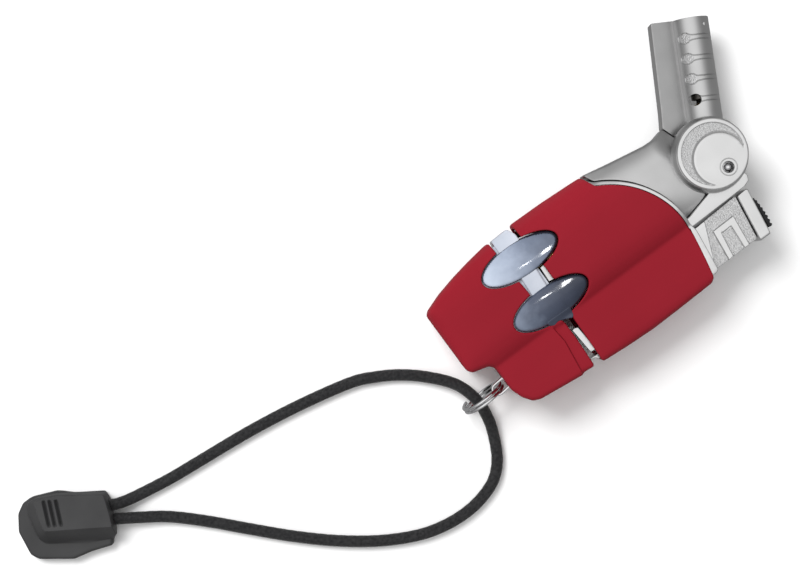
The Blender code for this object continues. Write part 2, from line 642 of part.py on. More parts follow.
def make_piezo():
    outline = [slanted(p, q) for p, q in ((-12.0, -21.7), (3.5, -21.7), (3.5, -14.7), (-12.0, -14.7))]
    body = prism("piezo", outline, MID - 4.2, MID + 4.2)
    cut(body, rod("plunger_bore", in_piezo(-9.0), in_piezo(6.0), 2.4))
    as_part(body, "piezo_body", "black_plastic")
    plunger = rod("plunger", in_piezo(-2.2), in_piezo(16.6), 2.0, 20)
    as_part(plunger, "piezo_plunger", "steel")

    frame, _ = along(in_piezo(4.1), in_piezo(16.4))
    turns, steps = 6, 12
    length, radius = 12.3, 3.0
    points = []
    for i in range(turns * steps + 1):
        angle = 2 * math.pi * i / steps
        place = Vector((radius * math.cos(angle), radius * math.sin(angle),
                        0.3 + (length - 0.6) * i / (turns * steps)))
        points.append((frame @ (place * MM)) / MM)
    wire("return_spring", points, 0.3, "steel", 1)

    lead = [in_piezo(-12.6, -1.0, -18.0), in_piezo(-13.6, -2.6, -17.4), in_piezo(-13.6, -4.2, -15.6),
            in_piezo(-12.6, -4.4, -12.4), (-10.2, -9.0, MID - 4.4),
            (-8.0, -5.0, MID - 4.4), (-3.4, 4.0, MID - 4.2), (1.6, 7.0, MID - 2.3),
            (9.0, 6.4, MID - 1.9), (16.0, 5.4, MID - 1.9), (22.6, 4.9, MID - 1.9)]
    wire("ignition_lead", smooth_route(lead, 3), 0.55, "black_rubber")


def make_lever():
    pivot = LEVER_PIN
    arm = [(-5.8, -12.05), (-4.9, -12.05), (-4.4, -11.1), (0.4, -10.9)]
    outline = [slanted(p, q) for p, q in arm]
    outline += arc(pivot, 1.9, 250.0, 360.0, 5)
    outline += [(3.4, -6.0), (3.3, 4.4), (1.7, 4.4), (1.6, -6.6)]
    outline += [slanted(-5.2, -9.7), slanted(-6.0, -10.2)]
    lever = prism("lever", outline, MID - 2.5, MID + 2.5)
    cut(lever, rod("pin_hole", at_mid(pivot, -4.0), at_mid(pivot, 4.0), 1.1, 16))
    cut(lever, box("fork", (0.0, 1.2, MID - 1.05), (5.0, 6.0, MID + 1.05)))
    as_part(lever, "valve_lever", "steel")
    pin = rod("pin", at_mid(pivot, -6.2), at_mid(pivot, 6.2), 0.8, 16)
    as_part(pin, "lever_pin", "steel")


def make_hose():
    route = [(-9.0, 7.3), (-8.7, 9.0), (-7.4, 10.1), (-4.6, 10.3), (3.0, 9.1), (12.0, 7.0),
             (20.0, 5.4), (25.0, 4.9), (HUB[0] - 4.9, HUB[1])]
    wire("gas_hose", smooth_route([at_mid(point) for point in route], 3), 1.0, "black_rubber")


# ---------------------------------------------------------------- lanyard
def smooth_route(points, per_span):
    """Points along a smooth curve through the route's own points."""
    points = [Vector(point) for point in points]
    padded = [2 * points[0] - points[1]] + points + [2 * points[-1] - points[-2]]
    result = []
    for i in range(1, len(padded) - 2):
        before, start, end, after = padded[i - 1:i + 3]
        for step in range(per_span):
            t = step / per_span
            result.append(0.5 * (2 * start + (end - before) * t
                                 + (2 * before - 5 * start + 4 * end - after) * t * t
                                 + (3 * start - before - 3 * end + after) * t ** 3))
    result.append(points[-1])
    return result


def in_cord_end(x, y):
    cosine, sine = math.cos(CORD_END_ANGLE), math.sin(CORD_END_ANGLE)
    return (CORD_END[0] + x * cosine - y * sine, CORD_END[1] + x * sine + y * cosine)


def cord_points():
    """The whole cord, with its two ends inside the cord end's sockets."""
    ends = [(*in_cord_end(x - CORD_SOCKET_DEPTH, y), MOUTH_Z) for x, y in CORD_MOUTHS]
    mouths = [(*in_cord_end(x, y), MOUTH_Z) for x, y in CORD_MOUTHS]
    route = [ends[0], mouths[0]] + CORD_ROUTE + [mouths[1], ends[1]]
    return smooth_route(route, 2)


def make_lanyard():
    lug = ([(-35.4, LUG[1] + 1.95)] + arc(LUG, 1.95, 90.0, 270.0, 10) + [(-35.4, LUG[1] - 1.95)])
    plate = prism("lug", lug, MID - 0.5, MID + 0.5)
    cut(plate, rod("lug_hole", at_mid(LUG, -2.0), at_mid(LUG, 2.0), 1.4, 20))
    as_part(plate, "lanyard_lug", "steel")

    centre = Vector(RING_CENTRE)
    lean, yaw = math.radians(8.0), math.radians(2.5)
    turn = Matrix.Rotation(yaw, 3, "Z") @ Matrix.Rotation(lean, 3, "X")
    steps, pitch, first = 30, 0.95, math.radians(41.0 - 180.0)
    points = []
    for i in range(2 * steps + 1):
        angle = first + 2 * math.pi * i / steps
        place = Vector((RING_RADIUS * math.cos(angle), pitch * (i / steps - 1.0),
                        RING_RADIUS * math.sin(angle)))
        points.append(centre + turn @ place)
    ring = wire("split_ring", points, 0.4, "steel", 1)
    move_origin(ring, at_mid(LUG))

    wire("lanyard_cord", cord_points(), CORD_RADIUS, "cord", 2)

    half = [(-12.0, 2.5), (-11.2, 5.6), (-9.2, 7.5), (-5.5, 8.4), (-1.0, 8.9), (1.0, 8.7),
            (3.0, 8.0), (6.0, 7.6), (11.6, 7.3)]
    base_outline = [(x, -y) for x, y in half] + half[::-1]
    top_outline = [(-9.0, -5.0), (-7.5, -5.8), (2.0, -6.1), (11.6, -5.6), (11.6, 6.7), (2.0, 7.2),
                   (-7.5, 6.8), (-9.0, 6.0)]
    base = prism("base", [in_cord_end(x, y) for x, y in base_outline], 0.0, 3.35)
    top = prism("top", [in_cord_end(x, y) for x, y in top_outline], 3.65, 8.6)
    for piece, name in ((base, "cord_end_base"), (top, "cord_end_cover")):
        for x, y in CORD_MOUTHS:
            cut(piece, rod("socket", (*in_cord_end(x - CORD_SOCKET_DEPTH - 0.6, y), MOUTH_Z),
                           (*in_cord_end(x + 3.0, y), MOUTH_Z), CORD_RADIUS + GAP, 16))
        as_part(piece, name, "black_plastic")


# ---------------------------------------------------------------- moving pieces' origins
def move_origin(obj, place):
    """Put an object's origin on its joint's axis without moving its shape."""
    target = Vector(place) * MM
    local = obj.matrix_world.inverted() @ target
    obj.data.transform(Matrix.Translation(-local))
    obj.matrix_world = obj.matrix_world @ Matrix.Translation(local)


def gather(name, place, names):
    """An empty on a joint's axis that carries the pieces that move together."""
    empty = bpy.data.objects.new(name, None)
    PARTS.objects.link(empty)
    empty.location = Vector(place) * MM
    bpy.context.view_layer.update()
    for child in names:
        obj = bpy.data.objects[child]
        obj.parent = empty
        obj.matrix_parent_inverse = empty.matrix_world.inverted()


def smooth_shading():
    for obj in PARTS.objects:
        if obj.type == "MESH":
            obj.data.shade_smooth()
            obj.data.set_sharp_from_angle(angle=math.radians(35.0))


make_shells()
make_windows()
make_tank()
make_gas_valve()
make_base_fittings()
make_chassis()
make_neck()
make_screws()
make_hub()
make_burner_head()
make_button()
make_safety_slider()
make_piezo()
make_lever()
make_hose()
make_lanyard()
gather("head_pivot", at_mid(HUB), ["burner_head", "gas_jet", "burner_tube", "flame_screen",
                                   "electrode_insulator", "igniter_electrode"])
gather("button_slide", in_piezo(17.0), ["button_block", "button_cap", "safety_slider"])
gather("lever_pivot", at_mid(LEVER_PIN), ["valve_lever"])
smooth_shading()
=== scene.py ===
import math

import bpy
import numpy as np
from mathutils import Matrix, Vector
from mathutils.geometry import delaunay_2d_cdt
from mathutils.kdtree import KDTree


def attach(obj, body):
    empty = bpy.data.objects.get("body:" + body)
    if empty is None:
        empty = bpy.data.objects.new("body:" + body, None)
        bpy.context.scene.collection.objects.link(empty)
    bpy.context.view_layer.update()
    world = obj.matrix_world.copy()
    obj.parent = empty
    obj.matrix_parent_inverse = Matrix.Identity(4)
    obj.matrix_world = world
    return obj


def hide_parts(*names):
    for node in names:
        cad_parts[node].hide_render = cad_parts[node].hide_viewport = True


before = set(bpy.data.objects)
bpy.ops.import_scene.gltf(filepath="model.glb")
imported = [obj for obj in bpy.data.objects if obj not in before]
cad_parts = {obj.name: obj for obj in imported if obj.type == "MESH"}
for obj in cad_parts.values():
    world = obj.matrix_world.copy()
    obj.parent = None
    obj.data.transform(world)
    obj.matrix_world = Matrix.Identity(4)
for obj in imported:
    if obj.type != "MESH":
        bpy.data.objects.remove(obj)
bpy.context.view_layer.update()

MM = 0.001

# ---------------------------------------------------------------- the body's dimensions
MID = 10.0
CREASE_TILT = math.radians(6.3)
SHELL_WALL = 1.2
SLEEVE_DROP = 1.5
ARC_CENTRE = (-3.9, -9.5)
HUB = (33.2, 4.8)
HUB_RADIUS = 8.8
PLATEAU = (34.1, 2.8)
PLATEAU_RADIUS = 6.35
RECESS_RADIUS = 7.7
RIVET = (34.9, 0.1)
BARREL_ANGLE = math.radians(68.4)
BARREL_LENGTH = 34.6
BARREL_OFFSET = -1.5
BARREL_RADIUS = 4.2
BORE_RADIUS = 3.2
VALVE_Y = 2.5
FILL_Y = -4.5
SCREWS = ((10.5, 6.0), (15.0, -2.0))
LUG = (-40.6, -19.5)
RING_CENTRE = (-44.87, -19.9, 6.3)
RING_RADIUS = 5.6
CORD_RADIUS = 1.5
CORD_END = (-153.0, 4.9)
CORD_END_ANGLE = math.radians(-24.0)
MOUTH_Z = 3.5
CORD_MOUTHS = ((12.0, 3.9), (12.0, 0.3))
CORD_SOCKET_DEPTH = 5.0
WINDOWS = {"upper": ((-20.4, 6.0), (10.6, 4.3), 4.0),
           "lower": ((-19.1, -7.1), (10.5, 4.4), 5.0)}
WINDOW_GAP = 0.3

SIDE_ROUND = 1.1      # how far the shells' outer edges are rounded
GAP_ROUND = 0.4       # and their edges along the gap and the windows
SIDES = (("front", 1), ("back", -1))
SHARP_ANGLE = math.radians(38.0)


# ---------------------------------------------------------------- plan outlines
def arc(centre, radius, start, end, steps):
    """Points on an arc, with its angles in degrees."""
    angles = np.radians(np.linspace(start, end, steps + 1))
    return [(centre[0] + radius * math.cos(a), centre[1] + radius * math.sin(a)) for a in angles]


def turned_out(origin, angle, a, b):
    """The plan point that lies a along and b across a direction from the origin."""
    cosine, sine = math.cos(angle), math.sin(angle)
    return (origin[0] + a * cosine - b * sine, origin[1] + a * sine + b * cosine)


def turned_in(origin, angle, x, y):
    """How far a plan point lies along and across a direction from the origin."""
    cosine, sine = math.cos(angle), math.sin(angle)
    dx, dy = x - origin[0], y - origin[1]
    return dx * cosine + dy * sine, -dx * sine + dy * cosine


def ellipse(centre, half_axes, tilt, grow=0.0, steps=72):
    circle = arc((0.0, 0.0), 1.0, 0.0, 360.0, steps)[:-1]
    return [turned_out(centre, math.radians(tilt), x * (half_axes[0] + grow), y * (half_axes[1] + grow))
            for x, y in circle]


def slanted(p, q):
    """A plan point given along (p) and across (q) the crease direction."""
    return turned_out((0.0, 0.0), CREASE_TILT, p, q)


def in_barrel(s, t):
    """A plan point given along (s) and to the left (t) of the barrel's pivot line."""
    return turned_out(HUB, BARREL_ANGLE, s, t)


def in_cord_end(x, y):
    return turned_out(CORD_END, CORD_END_ANGLE, x, y)


def at_mid(point, rise=0.0):
    return (point[0], point[1], MID + rise)


def box_plan(left, bottom, right, top):
    return [(left, bottom), (right, bottom), (right, top), (left, top)]


def rounded_by(points, radius):
    """The points with the edge radius that the slab gets there."""
    return [(x, y, radius) for x, y in points]


LEFT_SIDE = [(-25.2, 13.3), (-31.0, 11.8), (-36.3, 10.2), (-41.6, 8.3), (-46.3, 6.0),
             (-47.1, 5.0), (-45.3, -11.1), (-44.3, -12.3), (-39.9, -13.0), (-38.8, -14.2),
             (-38.2, -19.1), (-38.0, -21.0), (-36.7, -23.7), (-34.8, -25.8), (-33.0, -26.4),
             (-20.9, -26.5), (-20.2, -26.1)]
LEFT_SIDE_PLAIN = [(-25.2, 13.3), (-36.3, 10.1), (-46.7, 5.6), (-44.8, -12.5), (-38.6, -13.6),
                   (-38.0, -21.6), (-34.4, -26.3), (-20.3, -26.4)]
GAP_LEFT = [(-17.3, -26.0), (-17.8, -18.0), (-18.4, -12.9), (-21.6, -7.0), (-22.5, -2.8),
            (-23.3, 1.6), (-24.5, 10.0), (-24.9, 13.2)]
GAP_RIGHT = [(-17.7, 14.3), (-17.3, 10.8), (-16.1, 2.1), (-15.6, -2.8), (-15.6, -9.0),
             (-16.1, -13.0), (-15.0, -25.9)]
BOTTOM = [(-14.5, -26.1), (-8.0, -25.9), (0.0, -25.4), (8.0, -24.3), (18.0, -22.8)]
RIGHT_SIDE = [(18.95, -21.7), (19.5, -14.5), (19.75, -10.0)]
TOP = [(3.2, 15.4), (2.6, 16.0), (-7.6, 15.4), (-17.2, 14.5)]
LONG_OUTLINE = LEFT_SIDE_PLAIN + BOTTOM + [(30.0, -21.2), (30.0, 17.5)] + TOP[1:]


# ---------------------------------------------------------------- meshes from outlines
def gaussian(sigma, reach):
    kernel = np.exp(-0.5 * (np.arange(-reach, reach + 1) / sigma) ** 2)
    return kernel / kernel.sum()


def settle(values, sigma):
    """Smooth values that run round a closed loop, with a Gaussian of sigma samples."""
    reach = int(3 * sigma) + 1
    kernel = gaussian(sigma, reach)
    wrapped = np.concatenate([values[-reach:], values, values[:reach]])
    return np.stack([np.convolve(column, kernel, "valid") for column in wrapped.T], axis=1)


def walked(points):
    """Each point's distance from the first, along the line through them."""
    steps = np.sqrt((np.diff(points, axis=0) ** 2).sum(1))
    return np.concatenate([[0.0], np.cumsum(steps)])


def read_at(places, distances, rows):
    """The rows' values at other distances along their line."""
    return np.stack([np.interp(places, distances, column) for column in rows.T], axis=1)


def resampled(points, spacing):
    """Evenly spaced points round a closed loop."""
    closed = np.vstack([points, points[:1]])
    distances = walked(closed[:, :2])
    count = max(12, int(round(distances[-1] / spacing)))
    return read_at(np.linspace(0.0, distances[-1], count, endpoint=False), distances, closed)


def spaced(points, spacing):
    """Evenly spaced points along an open line, with both its ends."""
    distances = walked(points)
    count = max(2, int(distances[-1] / spacing))
    return read_at(np.linspace(0.0, distances[-1], count), distances, points)


def left_of(tangents):
    """Unit vectors to the left of the tangents."""
    tangents = tangents / np.maximum(np.hypot(*tangents.T), 1e-9)[:, None]
    return np.stack([-tangents[:, 1], tangents[:, 0]], axis=1)


def tangents_round(rows):
    return (np.roll(rows, -1, axis=0) - np.roll(rows, 1, axis=0))[:, :2]


def loop(points, soften, spacing, radius=0.0, hole=False):
    """A smooth closed loop (x, y, edge radius): anticlockwise, or clockwise for a hole."""
    rows = np.array([tuple(p) if len(p) == 3 else (*p, radius) for p in points], float)
    x, y = rows[:, 0], rows[:, 1]
    area = np.sum(x * np.roll(y, -1) - np.roll(x, -1) * y)
    if (area < 0.0) != hole:
        rows = rows[::-1]
    fine = 0.1
    rows = resampled(rows, fine)
    if soften > 0.0:
        rows = settle(rows, soften / fine)
    return resampled(rows, spacing)


def segments_of(loops):
    starts = np.vstack(loops)
    ends = np.vstack([np.roll(one, -1, axis=0) for one in loops])
    return starts, ends


def in_batches(function, points, size=2500):
    return np.concatenate([function(points[i:i + size]) for i in range(0, len(points), size)])


def against_edges(points, loops, measure):
    """Measure each point's distances to all the loops' sides, with the edge radii there."""
    starts, ends = segments_of(loops)
    side = (ends - starts)[:, :2]
    length = np.maximum((side ** 2).sum(1), 1e-12)

    def result(batch):
        gap = batch[:, None, :2] - starts[None, :, :2]
        t = np.clip((gap * side).sum(2) / length, 0.0, 1.0)
        distance = np.sqrt(((gap - t[..., None] * side) ** 2).sum(2))
        return measure(distance, starts[:, 2] + t * (ends[:, 2] - starts[:, 2]))
    return in_batches(result, points)


def edge_gap(points, loops):
    """Each point's distance to the loops."""
    return against_edges(points, loops, lambda distance, radius: distance.min(1))


def edge_drop(points, loops):
    """How far the rounded edges take the surface down at each point."""
    def drop(distance, radius):
        radius = np.maximum(radius, 1e-6)
        share = np.clip(1.0 - distance / radius, 0.0, 1.0)
        return (radius * (1.0 - np.sqrt(1.0 - share ** 2))).max(1)
    return against_edges(points, loops, drop)


def within(points, loops):
    """Even-odd test: true inside the outline and outside its holes."""
    starts, ends = segments_of(loops)

    def measure(batch):
        x, y = batch[:, None, 0], batch[:, None, 1]
        crosses = (starts[:, 1] > y) != (ends[:, 1] > y)
        rise = np.where(ends[:, 1] == starts[:, 1], 1.0, ends[:, 1] - starts[:, 1])
        at = starts[:, 0] + (y - starts[:, 1]) * (ends[:, 0] - starts[:, 0]) / rise
        return (crosses & (x < at)).sum(1) % 2 == 1
    return in_batches(measure, points)


ROUNDING = np.radians([18.0, 36.0, 54.0, 72.0, 90.0])


def plan_mesh(loops, spacing, features):
    """Triangles over an outline, with rows of points along its edges and its features."""
    inner = []
    for one in loops:
        normal = left_of(tangents_round(one))
        for angle in ROUNDING:
            depth = one[:, 2] * (1.0 - math.cos(angle))
            row = one[:, :2] + normal * depth[:, None]
            keep = (depth > 0.004) & within(row, loops)
            row, depth = row[keep], depth[keep]
            if len(row):
                inner.append(row[edge_gap(row, loops) > 0.93 * depth])
    low = loops[0][:, :2].min(0)
    high = loops[0][:, :2].max(0)
    step_y = spacing * math.sqrt(0.75)
    grid = []
    for i, y in enumerate(np.arange(low[1], high[1] + step_y, step_y)):
        xs = np.arange(low[0] + (i % 2) * spacing / 2, high[0] + spacing, spacing)
        grid.append(np.stack([xs, np.full(len(xs), y)], axis=1))
    grid = np.vstack(grid)
    grid = grid[within(grid, loops)]
    widest = max(one[:, 2].max() for one in loops)
    gap = edge_gap(grid, loops)
    clear = (gap > 0.35 * spacing) & ((gap > widest + 0.3 * spacing) | (edge_drop(grid, loops) == 0.0))
    grid = grid[clear]
    if len(features):
        extra = np.vstack(features)[:, :2]
        extra = extra[within(extra, loops)]
        extra = extra[edge_gap(extra, loops) > 0.06]
        inner.append(extra)
        tree = KDTree(len(extra))
        for i, (x, y) in enumerate(extra):
            tree.insert((x, y, 0.0), i)
        tree.balance()
        grid = grid[[tree.find((x, y, 0.0))[2] > 0.45 * spacing for x, y in grid]]
    points = np.vstack([one[:, :2] for one in loops] + inner + [grid])
    edges = []
    first = 0
    for one in loops:
        count = len(one)
        edges += [(first + i, first + (i + 1) % count) for i in range(count)]
        first += count
    flat = [Vector(point) for point in points]
    result = delaunay_2d_cdt(flat, edges, [], 0, 1e-5, False)
    plan = np.array([tuple(v) for v in result[0]])
    triangles = np.array([f for f in result[2] if len(f) == 3])
    a, b, c = (plan[triangles[:, k]] for k in range(3))
    twice = (b[:, 0] - a[:, 0]) * (c[:, 1] - a[:, 1]) - (b[:, 1] - a[:, 1]) * (c[:, 0] - a[:, 0])
    triangles[twice < 0.0] = triangles[twice < 0.0][:, ::-1]
    solid = within((a + b + c) / 3.0, loops) & (np.abs(twice) > 1e-9)
    return plan, triangles[solid]


def mesh_object(name, vertices, faces):
    mesh = bpy.data.meshes.new(name)
    mesh.from_pydata([tuple(v) for v in np.asarray(vertices) * MM], [], faces)
    mesh.validate()
    obj = bpy.data.objects.new(name, mesh)
    bpy.context.scene.collection.objects.link(obj)
    shade(obj)
    return obj


def shade(obj):
    """Smooth shading, with the edges over SHARP_ANGLE left crisp."""
    obj.data.shade_smooth()
    obj.data.set_sharp_from_angle(angle=SHARP_ANGLE)


def slab(name, loops, top, low=None, spacing=0.8, features=(), paint=None):
    """A solid over an outline between top(x, y) and low(x, y), or mirrored in the middle plane."""
    plan, triangles = plan_mesh(loops, spacing, features)
    x, y = plan.T
    drop = edge_drop(plan, loops)
    z_top = top(x, y) - drop
    z_low = (2 * MID - top(x, y) if low is None else low(x, y)) + drop
    pinch = z_top - z_low < 0.04
    middle = (z_top + z_low) / 2
    z_top = np.where(pinch, middle + 0.02, z_top)
    z_low = np.where(pinch, middle - 0.02, z_low)
    count = len(plan)
    vertices = np.vstack([np.column_stack([x, y, z_top]), np.column_stack([x, y, z_low])])
    sides = {}
    for a, b, c in triangles.tolist():
        for i, j in ((a, b), (b, c), (c, a)):
            if (j, i) in sides:
                del sides[j, i]
            else:
                sides[i, j] = True
    faces = [tuple(t) for t in triangles.tolist()]
    faces += [(c + count, b + count, a + count) for a, b, c in triangles.tolist()]
    faces += [(i + count, j + count, j, i) for i, j in sides]
    obj = mesh_object(name, vertices, faces)
    if paint is not None:
        centres = plan[triangles].mean(1)
        slots = paint(centres[:, 0], centres[:, 1]).astype(int)
        for i, value in enumerate(np.concatenate([slots, slots]).tolist()):
            obj.data.polygons[i].material_index = value
    return obj


def along(start, end):
    start, end = Vector(start), Vector(end)
    direction = end - start
    return Matrix.Translation(start) @ direction.to_track_quat("Z", "Y").to_matrix().to_4x4()


def lathe(name, profile, start, end, segments=64, ease=0.12):
    """A turned piece from (radius, height) points down its outer side, corners eased."""
    closed = profile[0][0] > 0.0
    count = len(profile)
    corners = []
    for i, point in enumerate(profile):
        here = Vector(point)
        before = Vector(profile[i - 1]) - here
        after = Vector(profile[(i + 1) % count]) - here
        if not closed and i in (0, count - 1) or ease == 0.0:
            corners.append(here)
            continue
        reach = min(ease, 0.4 * before.length, 0.4 * after.length)
        for t in (0.0, 0.33, 0.67, 1.0):
            one = here + before.normalized() * reach
            two = here + after.normalized() * reach
            corners.append(one.lerp(here, t).lerp(here.lerp(two, t), t))
    frame_to = along(start, end)
    vertices, rings = [], []
    for r, z in corners:
        ring = []
        sides = segments if r > 1e-6 else 1
        for k in range(sides):
            angle = 2 * math.pi * k / segments
            ring.append(len(vertices))
            vertices.append(frame_to @ Vector((r * math.cos(angle), r * math.sin(angle), z)))
        rings.append(ring)
    pairs = list(zip(rings, rings[1:]))
    if closed:
        pairs.append((rings[-1], rings[0]))
    faces = []
    for upper, lower in pairs:
        for k in range(segments):
            n = (k + 1) % segments
            if len(upper) == 1:
                faces.append((upper[0], lower[k], lower[n]))
            elif len(lower) == 1:
                faces.append((upper[k], lower[0], upper[n]))
            else:
                faces.append((upper[k], lower[k], lower[n], upper[n]))
    return mesh_object(name, [tuple(v) for v in vertices], faces)


def rod(name, start, end, radius, segments=64, ease=0.0):
    length = (Vector(end) - Vector(start)).length
    profile = [(0.0, length), (radius, length), (radius, 0.0), (0.0, 0.0)]
    return lathe(name, profile, start, end, segments, ease)


def combine(obj, operation, *tools):
    """Cut or join meshes for good, and keep the result's shading."""
    for tool in tools:
        modifier = obj.modifiers.new("step", "BOOLEAN")
        modifier.operation = operation
        modifier.object = tool
        graph = bpy.context.evaluated_depsgraph_get()
        mesh = bpy.data.meshes.new_from_object(obj.evaluated_get(graph))
        obj.modifiers.clear()
        old, obj.data = obj.data, mesh
        bpy.data.meshes.remove(old)
        bpy.data.objects.remove(tool)
    shade(obj)


def tube(name, points, radius, sides, relief=None):
    """A round tube along close points; relief(angle, distance) adds to its radius."""
    path = [Vector(p) for p in points]
    count = len(path)
    tangents = []
    for i in range(count):
        tangents.append((path[min(i + 1, count - 1)] - path[max(i - 1, 0)]).normalized())
    across = tangents[0].orthogonal().normalized()
    vertices, distance = [], 0.0
    angles = np.linspace(0.0, 2 * math.pi, sides, endpoint=False)
    for i, (place, tangent) in enumerate(zip(path, tangents)):
        across = (across - across.dot(tangent) * tangent).normalized()
        other = tangent.cross(across)
        if i:
            distance += (place - path[i - 1]).length
        reach = radius + (relief(angles, distance) if relief else np.zeros(sides))
        ring = np.outer(reach * np.cos(angles), across) + np.outer(reach * np.sin(angles), other)
        vertices.append(ring + np.array(place))
    faces = []
    for i in range(count - 1):
        for k in range(sides):
            n = (k + 1) % sides
            a, b = i * sides, (i + 1) * sides
            faces.append((a + k, a + n, b + n, b + k))
    faces.append(tuple(reversed(range(sides))))
    faces.append(tuple((count - 1) * sides + k for k in range(sides)))
    return mesh_object(name, np.vstack(vertices), faces)


def smooth_route(points, per_span):
    """Points along a smooth curve through the route's own points."""
    points = [Vector(point) for point in points]
    padded = [2 * points[0] - points[1]] + points + [2 * points[-1] - points[-2]]
    result = []
    for i in range(1, len(padded) - 2):
        before, start, end, after = padded[i - 1:i + 3]
        for step in range(per_span):
            t = step / per_span
            result.append(0.5 * (2 * start + (end - before) * t
                                 + (2 * before - 5 * start + 4 * end - after) * t * t
                                 + (3 * start - before - 3 * end + after) * t ** 3))
    result.append(points[-1])
    return result


def beside(points, offsets, spacing=0.35, closed=True):
    """Rows of points along a line at small offsets, where a surface steps."""
    rows = np.array([tuple(p)[:2] for p in points], float)
    rows = resampled(rows, spacing) if closed else spaced(rows, spacing)
    normal = left_of(tangents_round(rows) if closed else np.gradient(rows, axis=0))
    return [rows + normal * offset for offset in offsets]


# ---------------------------------------------------------------- height functions
def eased(share):
    share = np.clip(share, 0.0, 1.0)
    return share * share * (3.0 - 2.0 * share)


def least(a, b, blend):
    """The smaller of two heights, blended where they meet."""
    share = np.clip(0.5 + 0.5 * (b - a) / blend, 0.0, 1.0)
    return b * (1.0 - share) + a * share - blend * share * (1.0 - share)


def greatest(a, b, blend):
    return -least(-a, -b, blend)


def level(height):
    """A flat height function."""
    return lambda x, y: np.full(len(x), height)


def on_side(sign, outer, inner):
    """A slab's top and low for a piece in front of the middle plane (1) or behind it (-1)."""
    def far(x, y):
        return MID + sign * outer(x, y)

    def near(x, y):
        return MID + sign * inner(x, y)
    return (far, near) if sign > 0 else (near, far)


def profile_of(points, soften):
    """A smooth height function through a profile's points."""
    step = 0.05
    reach = int(4 * soften / step)
    places = np.arange(points[0][0], points[-1][0] + step, step)
    heights = np.interp(places, *np.array(points).T)
    kernel = gaussian(soften / step, reach)
    heights = np.convolve(np.pad(heights, reach, mode="edge"), kernel, "valid")
    return lambda at: np.interp(at, places, heights)


section = profile_of([(-27.0, 3.5), (-26.0, 5.5), (-24.5, 6.8), (-23.0, 7.25), (-20.0, 7.45),
                      (-13.0, 7.5), (-10.1, 7.4), (-9.75, 7.45), (-8.6, 8.2), (-7.0, 8.95),
                      (-5.0, 9.5), (-3.0, 9.8), (-1.0, 9.93), (3.0, 10.0), (6.0, 9.85),
                      (9.0, 9.3), (12.0, 8.3), (14.5, 6.6), (16.0, 4.5), (18.0, 2.0)], 0.28)
CREASE_LINE = [slanted(-48.0, -9.9), slanted(22.0, -9.9)]
lengthwise = profile_of([(-47.6, 6.5), (-46.2, 8.4), (-43.8, 9.6), (-40.0, 10.0), (40.0, 10.0)], 0.8)


def body_height(x, y):
    """Half the body's thickness."""
    across = turned_in((0.0, 0.0), CREASE_TILT, x, y)[1]
    return least(section(across), lengthwise(x), 0.5)


# ---------------------------------------------------------------- materials
def new_material(name, colour, roughness, metallic=0.0, **sockets):
    material = bpy.data.materials.new(name)
    material.use_nodes = True
    shader = material.node_tree.nodes["Principled BSDF"]
    shader.inputs["Base Color"].default_value = (*colour, 1.0)
    shader.inputs["Roughness"].default_value = roughness
    shader.inputs["Metallic"].default_value = metallic
    for socket, value in sockets.items():
        shader.inputs[socket.replace("_", " ")].default_value = value
    return material


def node(owner, kind, **settings):
    made = owner.node_tree.nodes.new(kind)
    for key, value in settings.items():
        if key in made.inputs:
            made.inputs[key].default_value = value
        else:
            setattr(made, key, value)
    return made


def link(owner, output, socket):
    owner.node_tree.links.new(output, socket)


def noise_of(material, scale, detail=3.0):
    """Noise over the piece's own coordinates; scale is the number of grains to a millimetre."""
    noise = node(material, "ShaderNodeTexNoise", Scale=scale / MM, Detail=detail)
    link(material, node(material, "ShaderNodeTexCoord").outputs["Object"], noise.inputs["Vector"])
    return noise.outputs["Fac"]


def ramp_of(owner, factor, stops):
    ramp = node(owner, "ShaderNodeValToRGB")
    for i, (at, colour) in enumerate(stops):
        element = ramp.color_ramp.elements[i] if i < 2 else ramp.color_ramp.elements.new(at)
        element.position = at
        element.color = (*colour, 1.0)
    link(owner, factor, ramp.inputs["Fac"])
    return ramp.outputs["Color"]


def range_of(material, factor, low, high):
    span = node(material, "ShaderNodeMapRange")
    span.inputs["To Min"].default_value = low
    span.inputs["To Max"].default_value = high
    link(material, factor, span.inputs["Value"])
    return span.outputs["Result"]


def grain(material, layers):
    """Bump from noise layers: (grains to a millimetre, height in millimetres, detail)."""
    normal = None
    for scale, height, detail in layers:
        bump = node(material, "ShaderNodeBump", Strength=1.0, Distance=height * MM)
        link(material, noise_of(material, scale, detail), bump.inputs["Height"])
        if normal is not None:
            link(material, normal, bump.inputs["Normal"])
        normal = bump.outputs["Normal"]
    link(material, normal, shader_of(material).inputs["Normal"])


def shader_of(material):
    return material.node_tree.nodes["Principled BSDF"]


def mottled(material, scale, dark, light, roughness):
    """Slow colour and gloss variation, as on a handled surface."""
    shader = shader_of(material)
    link(material, ramp_of(material, noise_of(material, scale, 4.0), [(0.3, dark), (0.7, light)]),
         shader.inputs["Base Color"])
    link(material, range_of(material, noise_of(material, scale * 4.0, 5.0), *roughness),
         shader.inputs["Roughness"])


def handled(name, colour, roughness, metallic, mottling, layers, **sockets):
    """A material with a mottled colour and gloss over its base values, and fine grain."""
    material = new_material(name, colour, roughness, metallic, **sockets)
    mottled(material, *mottling)
    if layers:
        grain(material, layers)
    return material


def make_red():
    return handled("soft_touch_red", (0.235, 0.009, 0.018), 0.65, 0.0,
                   (0.04, (0.225, 0.0085, 0.017), (0.248, 0.010, 0.020), (0.58, 0.7)),
                   [(5.0, 0.006, 2.0), (1.2, 0.004, 2.0)], Specular_IOR_Level=0.15)


def make_zinc(name, grey):
    return handled(name, (grey, grey, grey), 0.34, 1.0,
                   (0.15, [0.95 * grey] * 3, [1.05 * grey] * 3, (0.28, 0.38)),
                   [(7.0, 0.005, 2.0), (0.5, 0.006, 2.0)])


